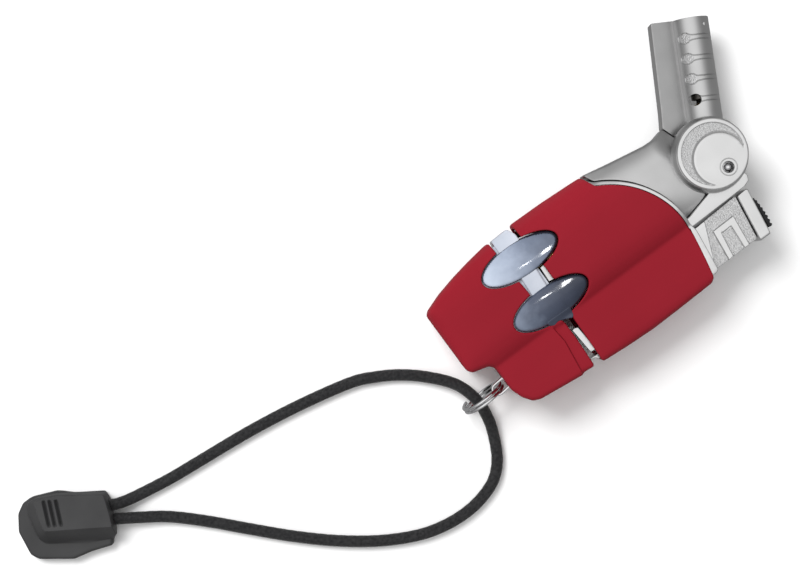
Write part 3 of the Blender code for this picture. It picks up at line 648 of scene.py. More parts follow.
def make_blasted_zinc():
    return handled("blasted_zinc", (0.74, 0.74, 0.74), 0.42, 1.0,
                   (3.0, (0.60, 0.60, 0.605), (0.90, 0.90, 0.90), (0.36, 0.48)),
                   [(3.2, 0.22, 1.0), (6.0, 0.03, 2.0)])


def make_chrome():
    return handled("bright_steel", (0.78, 0.78, 0.79), 0.16, 1.0,
                   (0.6, (0.72, 0.72, 0.73), (0.82, 0.82, 0.83), (0.10, 0.22)), [(6.0, 0.002, 2.0)])


# A darker copy of the steel: painted shade for the burner's inner tube, which lies deep in its bore.
def make_dark_steel():
    return handled("steel_shaded_in_bore", (0.16, 0.15, 0.14), 0.4, 1.0,
                   (0.6, (0.12, 0.11, 0.10), (0.20, 0.19, 0.18), (0.32, 0.48)), [(6.0, 0.003, 2.0)])


def make_brass():
    return handled("turned_brass", (0.60, 0.42, 0.16), 0.3, 1.0,
                   (0.3, (0.52, 0.35, 0.12), (0.66, 0.48, 0.20), (0.22, 0.38)), [(8.0, 0.004, 2.0)])


def make_black_plastic():
    return handled("moulded_black", (0.036, 0.036, 0.037), 0.5, 0.0,
                   (0.12, (0.030, 0.030, 0.031), (0.042, 0.042, 0.043), (0.42, 0.56)),
                   [(4.0, 0.012, 3.0)], Specular_IOR_Level=0.4)


def make_rubber():
    return handled("black_rubber", (0.012, 0.012, 0.0125), 0.62, 0.0,
                   (0.5, (0.012, 0.012, 0.013), (0.024, 0.024, 0.025), (0.5, 0.7)),
                   [(5.0, 0.01, 2.0)], Specular_IOR_Level=0.22)


def make_cord():
    return handled("braided_cord", (0.018, 0.018, 0.019), 0.75, 0.0,
                   (1.5, (0.010, 0.010, 0.011), (0.030, 0.030, 0.031), (0.65, 0.85)),
                   [(7.0, 0.03, 3.0)], Sheen_Weight=0.25, Sheen_Roughness=0.4, Specular_IOR_Level=0.25)


def make_ceramic():
    return handled("glazed_ceramic", (0.82, 0.80, 0.76), 0.3, 0.0,
                   (0.5, (0.78, 0.76, 0.71), (0.86, 0.84, 0.80), (0.22, 0.36)), [])


def make_lens(name, stops, centre, reach):
    """Smoke-tinted plastic, lighter where the light gets under it."""
    material = new_material(name, (0.2, 0.24, 0.32), 0.12, 0.0, Coat_Weight=0.5,
                            Coat_Roughness=0.05, Specular_IOR_Level=0.25)
    place = node(material, "ShaderNodeTexCoord").outputs["Object"]
    split = node(material, "ShaderNodeSeparateXYZ")
    link(material, place, split.inputs["Vector"])
    span = node(material, "ShaderNodeMapRange")
    span.inputs["From Min"].default_value = (centre - reach) * MM
    span.inputs["From Max"].default_value = (centre + reach) * MM
    link(material, split.outputs["X"], span.inputs["Value"])
    cloud = node(material, "ShaderNodeMath", operation="MULTIPLY_ADD")
    link(material, noise_of(material, 0.35, 4.0), cloud.inputs[0])
    cloud.inputs[1].default_value = 0.35
    link(material, span.outputs["Result"], cloud.inputs[2])
    shift = node(material, "ShaderNodeMath", operation="SUBTRACT")
    link(material, cloud.outputs["Value"], shift.inputs[0])
    shift.inputs[1].default_value = 0.175
    link(material, ramp_of(material, shift.outputs["Value"], stops),
         shader_of(material).inputs["Base Color"])
    return material


MATERIALS = {
    "red_shell": make_red(),
    "zinc": make_zinc("satin_zinc", 0.58),
    "pale_zinc": make_zinc("pale_zinc", 0.74),
    "blasted": make_blasted_zinc(),
    "steel": make_chrome(),
    "bore_shade_steel": make_dark_steel(),
    "brass": make_brass(),
    "black_plastic": make_black_plastic(),
    "black_rubber": make_rubber(),
    "cord": make_cord(),
    "ceramic": make_ceramic(),
    "lens_upper": make_lens("smoke_lens_light",
                            [(0.0, (0.38, 0.43, 0.52)), (0.35, (0.26, 0.30, 0.38)),
                             (0.62, (0.13, 0.155, 0.21)), (1.0, (0.05, 0.06, 0.09))],
                            -20.0, 11.0),
    # The lower lens is painted darker than the upper one: painted shade, for the lower part of the tank
    # lying in shadow.
    "lens_lower": make_lens("smoke_lens_shaded",
                            [(0.0, (0.15, 0.18, 0.24)), (0.35, (0.05, 0.062, 0.095)),
                             (1.0, (0.012, 0.015, 0.028))], -19.0, 11.0),
    # Painted shadow: the dark band round each lens's edge, widest on its right, stands for the shade that
    # the shell's edge casts on it.
    "lens_rim_shadow": make_lens("smoke_lens_rim", [(0.0, (0.10, 0.12, 0.17)), (1.0, (0.008, 0.012, 0.02))],
                          -24.0, 9.0),
    "clear": make_lens("smoke_tank", [(0.0, (0.33, 0.37, 0.44)), (1.0, (0.58, 0.60, 0.66))],
                       -20.0, 11.0),
}


# ---------------------------------------------------------------- pieces and bodies
def finish(obj, body, replaced, slot, *names):
    """Give a piece its body and its materials, and hide the CAD node it replaces.

    The first material is its own and a second goes on its painted faces.  With none given, the
    slot's name is the material's too.
    """
    names = names or (slot,)
    indices = [p.material_index for p in obj.data.polygons]
    obj.data.materials.clear()
    for name in names:
        obj.data.materials.append(MATERIALS[name])
    for polygon, index in zip(obj.data.polygons, indices):
        polygon.material_index = min(index, len(names) - 1)
    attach(obj, body)
    if replaced:
        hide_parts(replaced)


# ---------------------------------------------------------------- camera, floor and light
CAMERA_PLACE = (-49.2, 14.7, 410.0)
CAMERA_TURN = math.radians(-30.0)
VIEW_WIDTH = 200.0      # at the height MID
SENSOR_WIDTH = 36.0


def make_camera():
    """Straight above the middle of the torch and its lanyard, turned with the view."""
    camera = bpy.data.objects.new("camera", bpy.data.cameras.new("camera"))
    bpy.context.scene.collection.objects.link(camera)
    camera.matrix_world = (Matrix.Translation(Vector(CAMERA_PLACE) * MM)
                           @ Matrix.Rotation(CAMERA_TURN, 4, "Z"))
    camera.data.sensor_width = SENSOR_WIDTH
    camera.data.lens = SENSOR_WIDTH * (CAMERA_PLACE[2] - MID) / VIEW_WIDTH
    camera.data.clip_start, camera.data.clip_end = 0.01, 20.0
    bpy.context.scene.camera = camera


def make_floor():
    reach = 3000.0
    corners = [(x, y, -0.02) for x, y in box_plan(-reach, -reach, reach, reach)]
    floor = mesh_object("floor", corners, [(0, 1, 2, 3)])
    material = new_material("pale_floor", (0.93, 0.93, 0.93), 0.85, 0.0, Specular_IOR_Level=0.1)
    link(material, ramp_of(material, noise_of(material, 0.004, 3.0),
                           [(0.0, (0.925, 0.925, 0.925)), (1.0, (0.94, 0.94, 0.94))]),
         shader_of(material).inputs["Base Color"])
    floor.data.materials.append(material)
    floor.visible_glossy = False


def area_light(name, place, target, size, power):
    light = bpy.data.lights.new(name, "AREA")
    light.shape = "RECTANGLE"
    light.size, light.size_y = size[0] * MM, size[1] * MM
    light.energy = power
    lamp = bpy.data.objects.new(name, light)
    bpy.context.scene.collection.objects.link(lamp)
    lamp.location = Vector(place) * MM
    aim = (Vector(place) - Vector(target)) * MM
    lamp.rotation_mode = "QUATERNION"
    lamp.rotation_quaternion = aim.to_track_quat("Z", "Y")
    return lamp


LENSES = bpy.data.collections.new("lenses")
LENS_LAMPS = (("streak", (42.0, 2.0, 300.0), (60.0, 18.0), 0.13),
              ("glint", (0.0, 12.0, 300.0), (26.0, 12.0), 0.04))
WORLD_STRENGTH = 1.12
SOFTBOX_AXIS = (-0.17, 0.09, 1.0)
STUDIO = [(0.0, 0.27), (0.25, 0.25), (0.45, 0.30), (0.60, 0.38), (0.74, 0.60), (0.87, 0.92), (0.95, 1.0)]


def make_light():
    """A soft overhead box in the world, with a key light that gives the floor its shadows."""
    world = bpy.data.worlds.new("studio")
    world.use_nodes = True
    bpy.context.scene.world = world
    background = world.node_tree.nodes["Background"]
    place = node(world, "ShaderNodeTexCoord")
    facing = node(world, "ShaderNodeVectorMath", operation="DOT_PRODUCT")
    facing.inputs[1].default_value = Vector(SOFTBOX_AXIS).normalized()
    link(world, place.outputs["Generated"], facing.inputs[0])
    stops = [(at, (value, value, value)) for at, value in STUDIO]
    link(world, ramp_of(world, facing.outputs["Value"], stops), background.inputs["Color"])
    background.inputs["Strength"].default_value = WORLD_STRENGTH
    area_light("key", (-190.0, 520.0, 700.0), (-40.0, 0.0, 0.0), (420.0, 420.0), 7.0).visible_glossy = False
    for name, place, size, power in LENS_LAMPS:
        lamp = area_light(name, place, (-15.0, 0.0, 20.0), size, power)
        lamp.light_linking.receiver_collection = LENSES
    bpy.context.scene.view_settings.view_transform = "Standard"


# ---------------------------------------------------------------- lanyard
# The cord's route between the cord end's two mouths, through the ring.
CORD_ROUTE = [(-137.5, 2.7, 2.6), (-133.1, 2.2, 1.7), (-124.5, 1.8, 1.5), (-115.9, 1.9, 1.5),
              (-100.6, 2.1, 1.5), (-86.3, 1.5, 1.5), (-72.5, 0.0, 1.5),
              (-66.2, -1.9, 1.5), (-60.4, -4.6, 1.5), (-54.8, -8.4, 1.8), (-49.3, -13.6, 3.3),
              (-46.7, -19.3, 4.6), (-46.4, -24.9, 3.3), (-47.4, -30.0, 1.8),
              (-49.6, -35.6, 1.5), (-52.9, -39.6, 1.5), (-57.6, -42.1, 1.5),
              (-63.4, -43.5, 1.5), (-70.0, -43.6, 1.5), (-77.0, -42.3, 1.5),
              (-86.0, -38.7, 1.5), (-95.5, -33.2, 1.5), (-104.6, -26.6, 1.5),
              (-113.2, -19.5, 1.5), (-121.6, -12.4, 1.5), (-129.3, -6.6, 1.6),
              (-136.0, -2.8, 2.4)]
STRANDS = 8
BRAID_PITCH = 5.2
BRAID_RELIEF = 0.05


def braid(angles, distance):
    """Crossing strands that stand a little proud of the cord."""
    turn = 2 * math.pi * distance / BRAID_PITCH
    one = np.cos(STRANDS * (angles + turn / STRANDS * 2))
    two = np.cos(STRANDS * (angles - turn / STRANDS * 2))
    return BRAID_RELIEF * (np.maximum(one, two) - 1.0)


def make_cord_piece(with_pieces):
    ends = [(*in_cord_end(x - CORD_SOCKET_DEPTH, y), MOUTH_Z) for x, y in CORD_MOUTHS]
    mouths = [(*in_cord_end(x, y), MOUTH_Z) for x, y in CORD_MOUTHS]
    route = [ends[0], mouths[0]] + CORD_ROUTE + [mouths[1], ends[1]]
    coarse = np.array([tuple(p) for p in smooth_route(route, 40)])
    path = spaced(coarse, 0.26)
    cord = tube("lanyard_braid", path, CORD_RADIUS, 48, braid)
    finish(cord, "torch_body", "lanyard_cord", "cord")


CORD_END_FLANGE = [(-1.75, 8.8), (-0.1, 8.55), (2.6, 7.9), (4.8, 7.75), (10.6, 7.5), (11.6, 5.5),
                   (12.3, 2.0), (12.5, -2.3), (12.3, -3.8), (11.6, -4.6), (11.3, -6.4), (5.9, -7.4),
                   (1.2, -8.9), (-7.7, -8.0), (-9.7, -6.7), (-12.2, -0.6), (-11.9, 4.0), (-10.4, 6.6),
                   (-8.2, 7.9)]
CORD_END_COVER = [(-8.6, 6.9), (-9.2, 3.6), (-6.9, -2.8), (-5.6, -4.1), (4.9, -5.1), (11.8, -4.5),
                  (13.0, -3.4), (12.4, 2.0), (11.4, 7.3), (4.8, 7.9), (2.6, 8.1), (-1.0, 8.4), (-6.4, 7.9)]
CORD_END_CROWN = [(-6.3, 7.2), (-5.4, 3.2), (-4.4, -0.4), (6.4, -0.7), (13.4, -1.0), (13.0, 7.4),
                  (4.8, 7.7), (-1.0, 8.0)]
GROOVES = [(-3.0, 0.4, 7.4), (-1.5, 0.3, 7.4), (0.1, 0.3, 7.3)]      # (along, from, to) across
GROOVE_SLANT = 0.115
GROOVE_DEPTH = 0.9
FLANGE_TOP = 3.35
COVER_TOP = 8.6


def make_cord_end():
    base_loop = loop([in_cord_end(x, y) for x, y in CORD_END_FLANGE], 0.35, 0.5, 0.9)
    base = slab("cord_end_flange", [base_loop], level(FLANGE_TOP), level(0.0), 0.9)
    top_loop = loop([in_cord_end(x, y) for x, y in CORD_END_COVER], 0.3, 0.4, 0.3)
    crown_loop = loop([in_cord_end(x, y) for x, y in CORD_END_CROWN], 0.4, 0.4)
    def cover_height(x, y):
        points = np.column_stack([x, y])
        outside = np.where(within(points, [crown_loop]), 0.0, edge_gap(points, [crown_loop]))
        height = COVER_TOP - least(outside * 1.3, np.full(len(x), 5.0), 0.5)
        a, b = turned_in(CORD_END, CORD_END_ANGLE, x, y)
        for at, low, high in GROOVES:
            ends = np.clip(np.minimum(b - low, high - b) / 0.5, 0.0, 1.0)
            across = np.abs(a - at + GROOVE_SLANT * (b - low))
            height = height - GROOVE_DEPTH * ends * eased(1.0 - across / 0.55)
        return height

    features = beside(crown_loop, (-0.3, 0.0, 0.3), 0.4)
    for at, low, high in GROOVES:
        line = [in_cord_end(at, low - 0.3), in_cord_end(at - GROOVE_SLANT * (high - low), high + 0.3)]
        features += beside(line, (-0.55, -0.4, -0.2, 0.0, 0.2, 0.4, 0.55), 0.3, closed=False)
    cover = slab("cord_end_body", [top_loop], cover_height, level(FLANGE_TOP + 0.05), 0.55, features)
    for piece, node_name in ((base, "cord_end_base"), (cover, "cord_end_cover")):
        for x, y in CORD_MOUTHS:
            bottom = (*in_cord_end(x - CORD_SOCKET_DEPTH - 0.6, y), MOUTH_Z)
            beyond = (*in_cord_end(x + 3.0, y), MOUTH_Z)
            combine(piece, "DIFFERENCE", rod("socket", bottom, beyond, CORD_RADIUS + 0.25, 40))
        finish(piece, "torch_body", node_name, "black_plastic")
    return [base, cover]


RING_YAW = math.radians(9.0)
RING_LEAN = math.radians(8.0)
RING_START = math.radians(-139.0)
RING_PITCH = 0.95
RING_WIRE = 0.42
LUG_TURN = math.radians(12.0)
LUG_HALF = 0.6


def make_ring_and_lug():
    turn = Matrix.Rotation(RING_YAW, 3, "Z") @ Matrix.Rotation(RING_LEAN, 3, "X")
    steps = 96
    points = []
    for i in range(2 * steps + 1):
        angle = RING_START + 2 * math.pi * i / steps
        place = Vector((RING_RADIUS * math.cos(angle), RING_PITCH * (i / steps - 1.0),
                        RING_RADIUS * math.sin(angle)))
        points.append(Vector(RING_CENTRE) + turn @ place)
    ring = tube("split_ring_coil", points, RING_WIRE, 20)
    finish(ring, "ring", "split_ring", "steel")

    def on_lug(points):
        return [turned_out(LUG, LUG_TURN, x, y) for x, y in points]

    outline = [(5.0, 1.75)] + arc((0.0, 0.0), 1.75, 90.0, 270.0, 24) + [(5.0, -1.75)]
    opening = [(2.4, 1.0)] + arc((0.0, 0.0), 1.15, 110.0, 250.0, 24) + [(2.4, -1.0)]
    eye = loop(on_lug(opening), 0.15, 0.22, 0.28, hole=True)
    lug = slab("lanyard_eye_plate", [loop(on_lug(outline), 0.1, 0.3, 0.3), eye],
               level(MID + LUG_HALF), None, 0.4)
    finish(lug, "torch_body", "lanyard_lug", "steel")


# ---------------------------------------------------------------- shells, windows and tank
def hollow(drop):
    """The room inside the shells, drop under their outer surface."""
    inner = loop(LONG_OUTLINE, 0.3, 1.2)
    inner[:, :2] += left_of(tangents_round(inner)) * drop
    return slab("hollow", [inner], lambda x, y: MID + np.maximum(body_height(x, y) - drop, 0.3),
                None, 2.0)


def shell_outlines():
    rear = rounded_by(LEFT_SIDE, SIDE_ROUND) + rounded_by(GAP_LEFT, GAP_ROUND)
    round_end = arc(ARC_CENTRE, 23.4, 7.0, 68.6, 30)
    front = (rounded_by(GAP_RIGHT, GAP_ROUND) + rounded_by(BOTTOM, SIDE_ROUND)
             + rounded_by(RIGHT_SIDE + round_end, GAP_ROUND) + rounded_by(TOP, SIDE_ROUND))
    return rear, front


STEP_LINE = [(-20.9, -27.5), (-20.7, -17.0), (-21.6, -12.6)]
STEP_DEPTH = 0.6


def rear_height(x, y):
    """The rear shell's surface, with a lowered band beside the gap in its flange."""
    line_x = np.interp(y, [p[1] for p in STEP_LINE], [p[0] for p in STEP_LINE])
    fade = eased((-12.4 - y) / 0.8)
    step = eased((x - line_x + 0.12) / 0.24) * fade
    return MID + body_height(x, y) - STEP_DEPTH * step


def make_shell(name, outline, height, features, node_name):
    """A hollow shell: the outer form, less the room inside it and the windows' openings."""
    shell = slab(name, [open_windows(loop(outline, 0.35, 0.4))], height, None, 0.75, features)
    combine(shell, "DIFFERENCE", hollow(SHELL_WALL))
    finish(shell, "torch_body", node_name, "red_shell")
    return shell


def one_run(rows, kept):
    """The kept rows of a closed loop, in order from where they start."""
    start = int(np.argmax(kept & ~np.roll(kept, 1)))
    return np.roll(rows, -start, axis=0)[:int(kept.sum())]


def open_windows(outline):
    """An outline with the two window ellipses taken out of its edge."""
    for centre, axes, tilt in WINDOWS.values():
        hole = loop(ellipse(centre, axes, tilt, WINDOW_GAP), 0.0, 0.3, GAP_ROUND, hole=True)
        outside = ~within(outline, [hole])
        if outside.all():
            continue
        outline = np.vstack([one_run(outline, outside), one_run(hole, within(hole, [outline]))])
    return outline


def make_shells():
    rear, front = shell_outlines()
    crease = beside(CREASE_LINE, (-0.5, -0.2, 0.1, 0.4, 0.8, 1.2), 0.6, closed=False)
    features = crease + beside(STEP_LINE, (-0.14, -0.05, 0.05, 0.14), 0.4, closed=False)
    rear_shell = make_shell("rear_shell_skin", rear, rear_height, features, "rear_shell")
    combine(rear_shell, "DIFFERENCE",
            rod("fill_hole", (-50.0, FILL_Y, MID), (-42.0, FILL_Y, MID), 2.5, 48),
            rod("dial_hole", (-50.0, VALVE_Y, MID), (-42.0, VALVE_Y, MID), 2.7, 48))
    front_shell = make_shell("front_shell_skin", front, lambda x, y: MID + body_height(x, y), crease,
                             "front_shell")
    for x, y in SCREWS:
        combine(front_shell, "DIFFERENCE", rod("screw_well", (x, y, -1.0), (x, y, 3.0), 2.3))


WINDOW_SINK = 0.2       # the lenses' edges under the shells' surface
WINDOW_BULGE = 0.5
WINDOW_THICKNESS = 2.2


def make_windows():
    for tier, (centre, axes, tilt) in WINDOWS.items():
        def dome(x, y, centre=centre, axes=axes, tilt=tilt):
            a, b = turned_in(centre, math.radians(tilt), x, y)
            share = np.clip((a / axes[0]) ** 2 + (b / axes[1]) ** 2, 0.0, 1.0)
            return np.minimum(body_height(x, y) - WINDOW_SINK + WINDOW_BULGE * (1.0 - share), MID)

        outline = loop(ellipse(centre, axes, tilt), 0.0, 0.35, 0.7)

        # The lens faces near its edge, in a band that widens to the right, get the painted shadow of the
        # shell's edge.
        def rim(x, y, centre=centre, outline=outline):
            gap = edge_gap(np.column_stack([x, y]), [outline])
            return gap < 0.2 + 0.4 * eased((x - centre[0]) / 8.0)

        for side, sign in SIDES:
            top, low = on_side(sign, dome, lambda x, y: body_height(x, y) - WINDOW_THICKNESS)
            lens = slab(f"lens_{tier}_{side}", [outline], top, low, 0.5, (), rim)
            LENSES.objects.link(lens)
            finish(lens, "torch_body", f"window_{tier}_{side}", "smoke_lens", f"lens_{tier}", "lens_rim_shadow")


def make_tank_tabs():
    """The tank's raised blocks that fill the gap between the shells."""
    tabs = {
        "top": ([(-24.0, 13.3), (-24.0, 9.6), (-18.0, 9.6), (-18.05, 11.9), (-19.2, 14.0)], 0.5, 0.4),
        "middle": ([(-22.55, 2.6), (-22.3, -3.6), (-17.75, -3.6), (-18.0, 2.6)], 0.5, 0.5),
        "bottom": ([(-22.4, -10.6), (-22.2, -11.9), (-20.9, -12.5), (-19.8, -11.9), (-17.4, -12.5),
                    (-16.1, -13.0), (-15.5, -12.4), (-15.4, -10.0)], -0.05, 0.3),
    }
    for name, (outline, drop, edge) in tabs.items():
        tab = slab(f"tank_tab_{name}", [loop(outline, 0.25, 0.3, edge)],
                   lambda x, y, drop=drop: MID + body_height(x, y) - drop, None, 0.5)
        # The bottom tab takes the lower lens's colour, with its painted shade.
        finish(tab, "torch_body", None, "smoke_lens", "lens_lower" if name == "bottom" else "clear")


# ---------------------------------------------------------------- chassis and neck
LIP_RISE = 1.0
LIP_RADIUS = 23.47
SLIT_DEPTH = 1.4
WEDGE_TOP = 6.2
PASSAGE_HALF = 5.2      # the opening the button slides in


def make_chassis():
    left = [(-17.0, 13.2), (-17.2, 10.8), (-17.15, 2.1), (-16.85, -2.8), (-17.2, -9.0), (-18.6, -12.6),
            (-18.2, -18.0), (-17.6, -24.3), (-15.8, -24.6)]
    outline = (left + [(-15.6, -25.2), (-8.0, -24.6), (0.0, -24.1), (8.0, -23.0), (18.4, -21.4),
                       (20.0, -21.1), (20.85, -20.6), (21.0, -9.4)]
               + arc(ARC_CENTRE, 24.4, 4.6, 67.0, 40)
               + [(4.8, 13.3), (3.2, 14.8), (2.4, 15.0), (-7.6, 14.2)])

    def lip(x, y):
        """The band that shows round the front shell's end stands up beside it."""
        reach = np.hypot(x - ARC_CENTRE[0], y - ARC_CENTRE[1])
        arc_side = eased((reach - LIP_RADIUS) / 0.1) * (x > 2.0)
        straight = eased((x - (19.18 + (y + 20.8) * 0.056)) / 0.1) * (y < -7.5)
        return np.maximum(arc_side, straight)

    def slit(x, y):
        """The strip seen in the slit stops short at both ends and stands clear of its sides."""
        middle = -17.45 + 0.19 * (-13.0 - y)
        ends = np.maximum(eased((y + 15.6) / 0.3), eased((-22.5 - y) / 0.3))
        side = eased((np.abs(x - middle) - 0.7) / 0.2)
        return np.maximum(ends, side) * (x < -14.6) * (y < -12.0)

    def height(x, y):
        return MID + body_height(x, y) - SLEEVE_DROP + LIP_RISE * lip(x, y) - SLIT_DEPTH * slit(x, y)

    lines = ((arc(ARC_CENTRE, LIP_RADIUS + 0.05, 3.0, 70.0, 60), (-0.08, 0.0, 0.08)),
             ([(19.2, -21.4), (19.95, -8.0)], (-0.1, 0.0, 0.1)),
             ([(-17.45, -13.0), (-15.2, -25.0)], (-0.95, -0.7, 0.0, 0.7, 0.95)))
    features = [row for line, offsets in lines for row in beside(line, offsets, 0.35, closed=False)]
    sleeve = slab("chassis_sleeve", [loop(outline, 0.25, 0.35, 0.22)], height, None, 1.0, features)
    combine(sleeve, "DIFFERENCE", hollow(SLEEVE_DROP + 0.6))
    for centre, axes, tilt in WINDOWS.values():
        seat = loop(ellipse(centre, axes, tilt, 0.45), 0.0, 0.5)
        combine(sleeve, "DIFFERENCE", slab("lens_seat", [seat], level(MID + 12.0), None, 2.0))
    passage = [(12.4, -21.5), (14.8, -21.5), (21.2, -20.72), (33.5, -19.2), (34.2, -6.9),
               (27.9, -7.55), (10.0, -10.45)]
    combine(sleeve, "DIFFERENCE",
            slab("passage", [loop(passage, 0.0, 0.5)], level(MID + PASSAGE_HALF), None, 2.0))
    wedge = ([(18.6, -6.3), (21.2, -5.95), (24.8, -4.55), (27.3, -3.6)]
             + arc(HUB, HUB_RADIUS + 0.4, 239.0, 303.0, 16)
             + [(38.8, -4.0), (38.3, -5.4), (36.6, -6.2), (21.4, -8.25), (18.6, -8.5)])
    combine(sleeve, "UNION",
            slab("wedge", [loop(wedge, 0.15, 0.3, 0.2)], level(MID + WEDGE_TOP), None, 0.8))
    finish(sleeve, "torch_body", "chassis", "zinc", "pale_zinc")


AXLE_HOLE = 2.8
RIVET_HOLE = 1.4
EYE_HALF = 5.0          # from the middle plane to the cheeks' inner faces
CHEEK_TOP = 8.2


def through(name, centre, half, radius, segments):
    """A rod that runs through the middle plane, to cut a hole with."""
    return rod(name, at_mid(centre, -half), at_mid(centre, half), radius, segments)


def neck_height(x, y):
    """The neck's face, sloping down to its outer edge and falling off under the hub."""
    face = 6.6 - 0.0035 * (x - 13.0) ** 2 * (x > 13.0)
    outer = 6.6 - 0.5 * (y - (11.6 - 0.012 * x))
    under = 6.6 + 0.55 * (y + 0.6) + 0.08 * (x - 20.0)
    elbow = 2.5 - 0.72 * (x - 27.6) - 0.35 * (y - 14.3)
    return MID + least(least(least(face, outer, 1.2), under, 2.4), elbow, 1.6)


def make_neck():
    plan = (rounded_by([(3.7, 16.1), (5.3, 13.4)] + arc(ARC_CENTRE, 24.8, 66.5, 8.2, 40), 0.15)
            + rounded_by([(24.8, -4.35), (27.0, -3.45), (30.0, 0.0), (31.0, 8.0), (28.5, 12.5),
                          (26.7, 16.2)], 0.06)
            + rounded_by([(26.0, 15.9), (24.0, 15.1), (20.6, 14.9), (9.6, 15.6)], 0.6))
    neck = slab("neck_body", [loop(plan, 0.3, 0.35)], neck_height, None, 0.6)
    for side in (-1, 1):
        start, end = at_mid(HUB, side * EYE_HALF), at_mid(HUB, side * CHEEK_TOP)
        flared = [(0.0, 3.2), (8.75, 3.2), (8.95, 2.7), (9.35, 1.9), (9.6, 0.9), (9.6, 0.0), (0.0, 0.0)]
        combine(neck, "UNION", lathe("cheek", flared, start, end, 128, 0.15))
    combine(neck, "DIFFERENCE",
            through("eye_slot", HUB, EYE_HALF - 0.02, HUB_RADIUS + 0.4, 128),
            through("axle_hole", HUB, 9.5, AXLE_HOLE, 48),
            through("rivet_hole", RIVET, 9.5, RIVET_HOLE, 48))
    finish(neck, "torch_body", "neck_casting", "zinc")


def make_screws():
    for number, (x, y) in enumerate(SCREWS, 1):
        profile = [(0.0, 6.1), (1.0, 6.1), (1.0, 0.8), (2.0, 0.8), (2.0, 0.0), (0.0, 0.0)]
        screw = lathe("screw", profile, (x, y, 0.35), (x, y, 6.5), 48, 0.15)
        plan = loop(box_plan(x - 3.0, y - 0.3, x + 3.0, y + 0.3), 0.0, 0.5)
        combine(screw, "DIFFERENCE", slab("slot", [plan], level(0.85), level(0.0), 1.0))
        screw.name = f"case_screw_head_{number}"
        finish(screw, "torch_body", f"case_screw_{number}", "steel")


# ---------------------------------------------------------------- hub and burner head
CRESCENT_DEPTH = 0.65
HUB_CAP_SEAT = 8.5
RING_LINE = 2.1


def hub_relief(x, y):
    """How deep the crescent between the two circles lies."""
    outer = RECESS_RADIUS - np.hypot(x - HUB[0], y - HUB[1])
    inner = np.hypot(x - PLATEAU[0], y - PLATEAU[1]) - PLATEAU_RADIUS
    return eased(outer / 0.2 + 0.5) * eased(inner / 0.8 + 0.08)


def make_hub():
    outline = arc(HUB, HUB_RADIUS, 0.0, 360.0, 180)[:-1]
    rivet_hole = loop(arc(RIVET, RIVET_HOLE, 0.0, 360.0, 60)[:-1], 0.0, 0.2, 0.15, hole=True)
    features = beside(arc(RIVET, RING_LINE, 0.0, 360.0, 80)[:-1], (-0.15, -0.07, 0.0, 0.07, 0.15), 0.17)
    features += (beside(arc(HUB, RECESS_RADIUS, 0.0, 360.0, 160)[:-1], (-0.12, -0.04, 0.04, 0.12), 0.28)
                 + beside(arc(PLATEAU, PLATEAU_RADIUS, 0.0, 360.0, 140)[:-1],
                          (-0.85, -0.7, -0.55, -0.4, -0.25, -0.1, 0.05), 0.28))

    def blasted(x, y):
        return hub_relief(x, y) > 0.9

    def face(x, y):
        """Flat but for the crescent and a thin ring line round the rivet."""
        ring = 1.0 - np.abs(np.hypot(x - RIVET[0], y - RIVET[1]) - RING_LINE) / 0.15
        return MID - CRESCENT_DEPTH * hub_relief(x, y) - 0.12 * eased(ring)

    pin = [(0.0, 4.4), (0.3, 4.36), (0.6, 4.2), (0.82, 3.9), (0.9, 3.5), (0.9, 3.3), (0.75, 3.3),
           (0.75, 0.0), (0.0, 0.0)]
    for side, sign in SIDES:
        top, low = on_side(sign, face, level(HUB_CAP_SEAT))
        cap = slab(f"hub_disc_{side}", [loop(outline, 0.0, 0.35, 0.4), rivet_hole], top, low, 0.45,
                   features, blasted)
        finish(cap, "torch_body", f"hub_cap_{side}", "zinc", "pale_zinc", "blasted")
        rivet = lathe(f"hub_rivet_pin_{side}", pin, at_mid(RIVET, sign * 5.5), at_mid(RIVET, sign * 10.0),
                      48, 0.05)
        finish(rivet, "torch_body", f"hub_rivet_{side}", "steel")


KEYHOLES = ((29.6, 1.45), (24.5, 1.4), (19.4, 1.2))
BARREL_MIDDLE = -1.1
BARREL_SPREAD = 4.6
FIN_EDGE = 9.1
FIN_ROOT = 1.1
FIN_RISE = 0.2
VALLEY = 3.325
LINE_DEPTH = 0.22
EYE_RADIUS = 1.3
WIRE_OFFSET = 5.6


def keyhole_lines(at, eye):
    """A keyhole's outline: an eye and a stem that runs round the barrel to its far side."""
    eye_arc = [(at + EYE_RADIUS * math.sin(math.radians(a)), eye + EYE_RADIUS * math.cos(math.radians(a)))
               for a in range(-145, 146, 10)]
    stem = [(at + 0.6, eye - 1.7), (at + 0.52, eye - 3.0), (at + 0.6, -5.4),
            (at - 0.6, -5.4), (at - 0.52, eye - 3.0), (at - 0.6, eye - 1.7)]
    return loop([in_barrel(s, t) for s, t in eye_arc + stem], 0.1, 0.22)


def burner_height(x, y, lines):
    """The barrel and its fin, with the keyholes' thin outlines cut into it."""
    s, t = turned_in(HUB, BARREL_ANGLE, x, y)
    around = np.clip(1.0 - ((t - BARREL_MIDDLE) / BARREL_SPREAD) ** 2, 0.0, None)
    barrel = BARREL_RADIUS * np.sqrt(around)
    beyond = np.clip(t - VALLEY + 0.1, 0.0, None)
    fin = np.where(t > 0.5, FIN_ROOT + FIN_RISE * beyond + 0.4 * (1.0 - np.exp(-beyond / 0.9)), -2.0)
    height = greatest(barrel, fin, 0.9)
    gap = edge_gap(np.column_stack([x, y]), lines)
    height = height - LINE_DEPTH * eased(1.0 - gap / 0.2) * (t > -5.3) * (s > 10.0)
    reach = np.hypot(x - HUB[0], y - HUB[1])
    return MID + np.where(reach < HUB_RADIUS + 0.15, 4.0, np.minimum(height, 4.2))


def on_bore(s):
    return at_mid(in_barrel(s, BARREL_OFFSET))


def on_wire(s):
    return at_mid(in_barrel(s, WIRE_OFFSET))


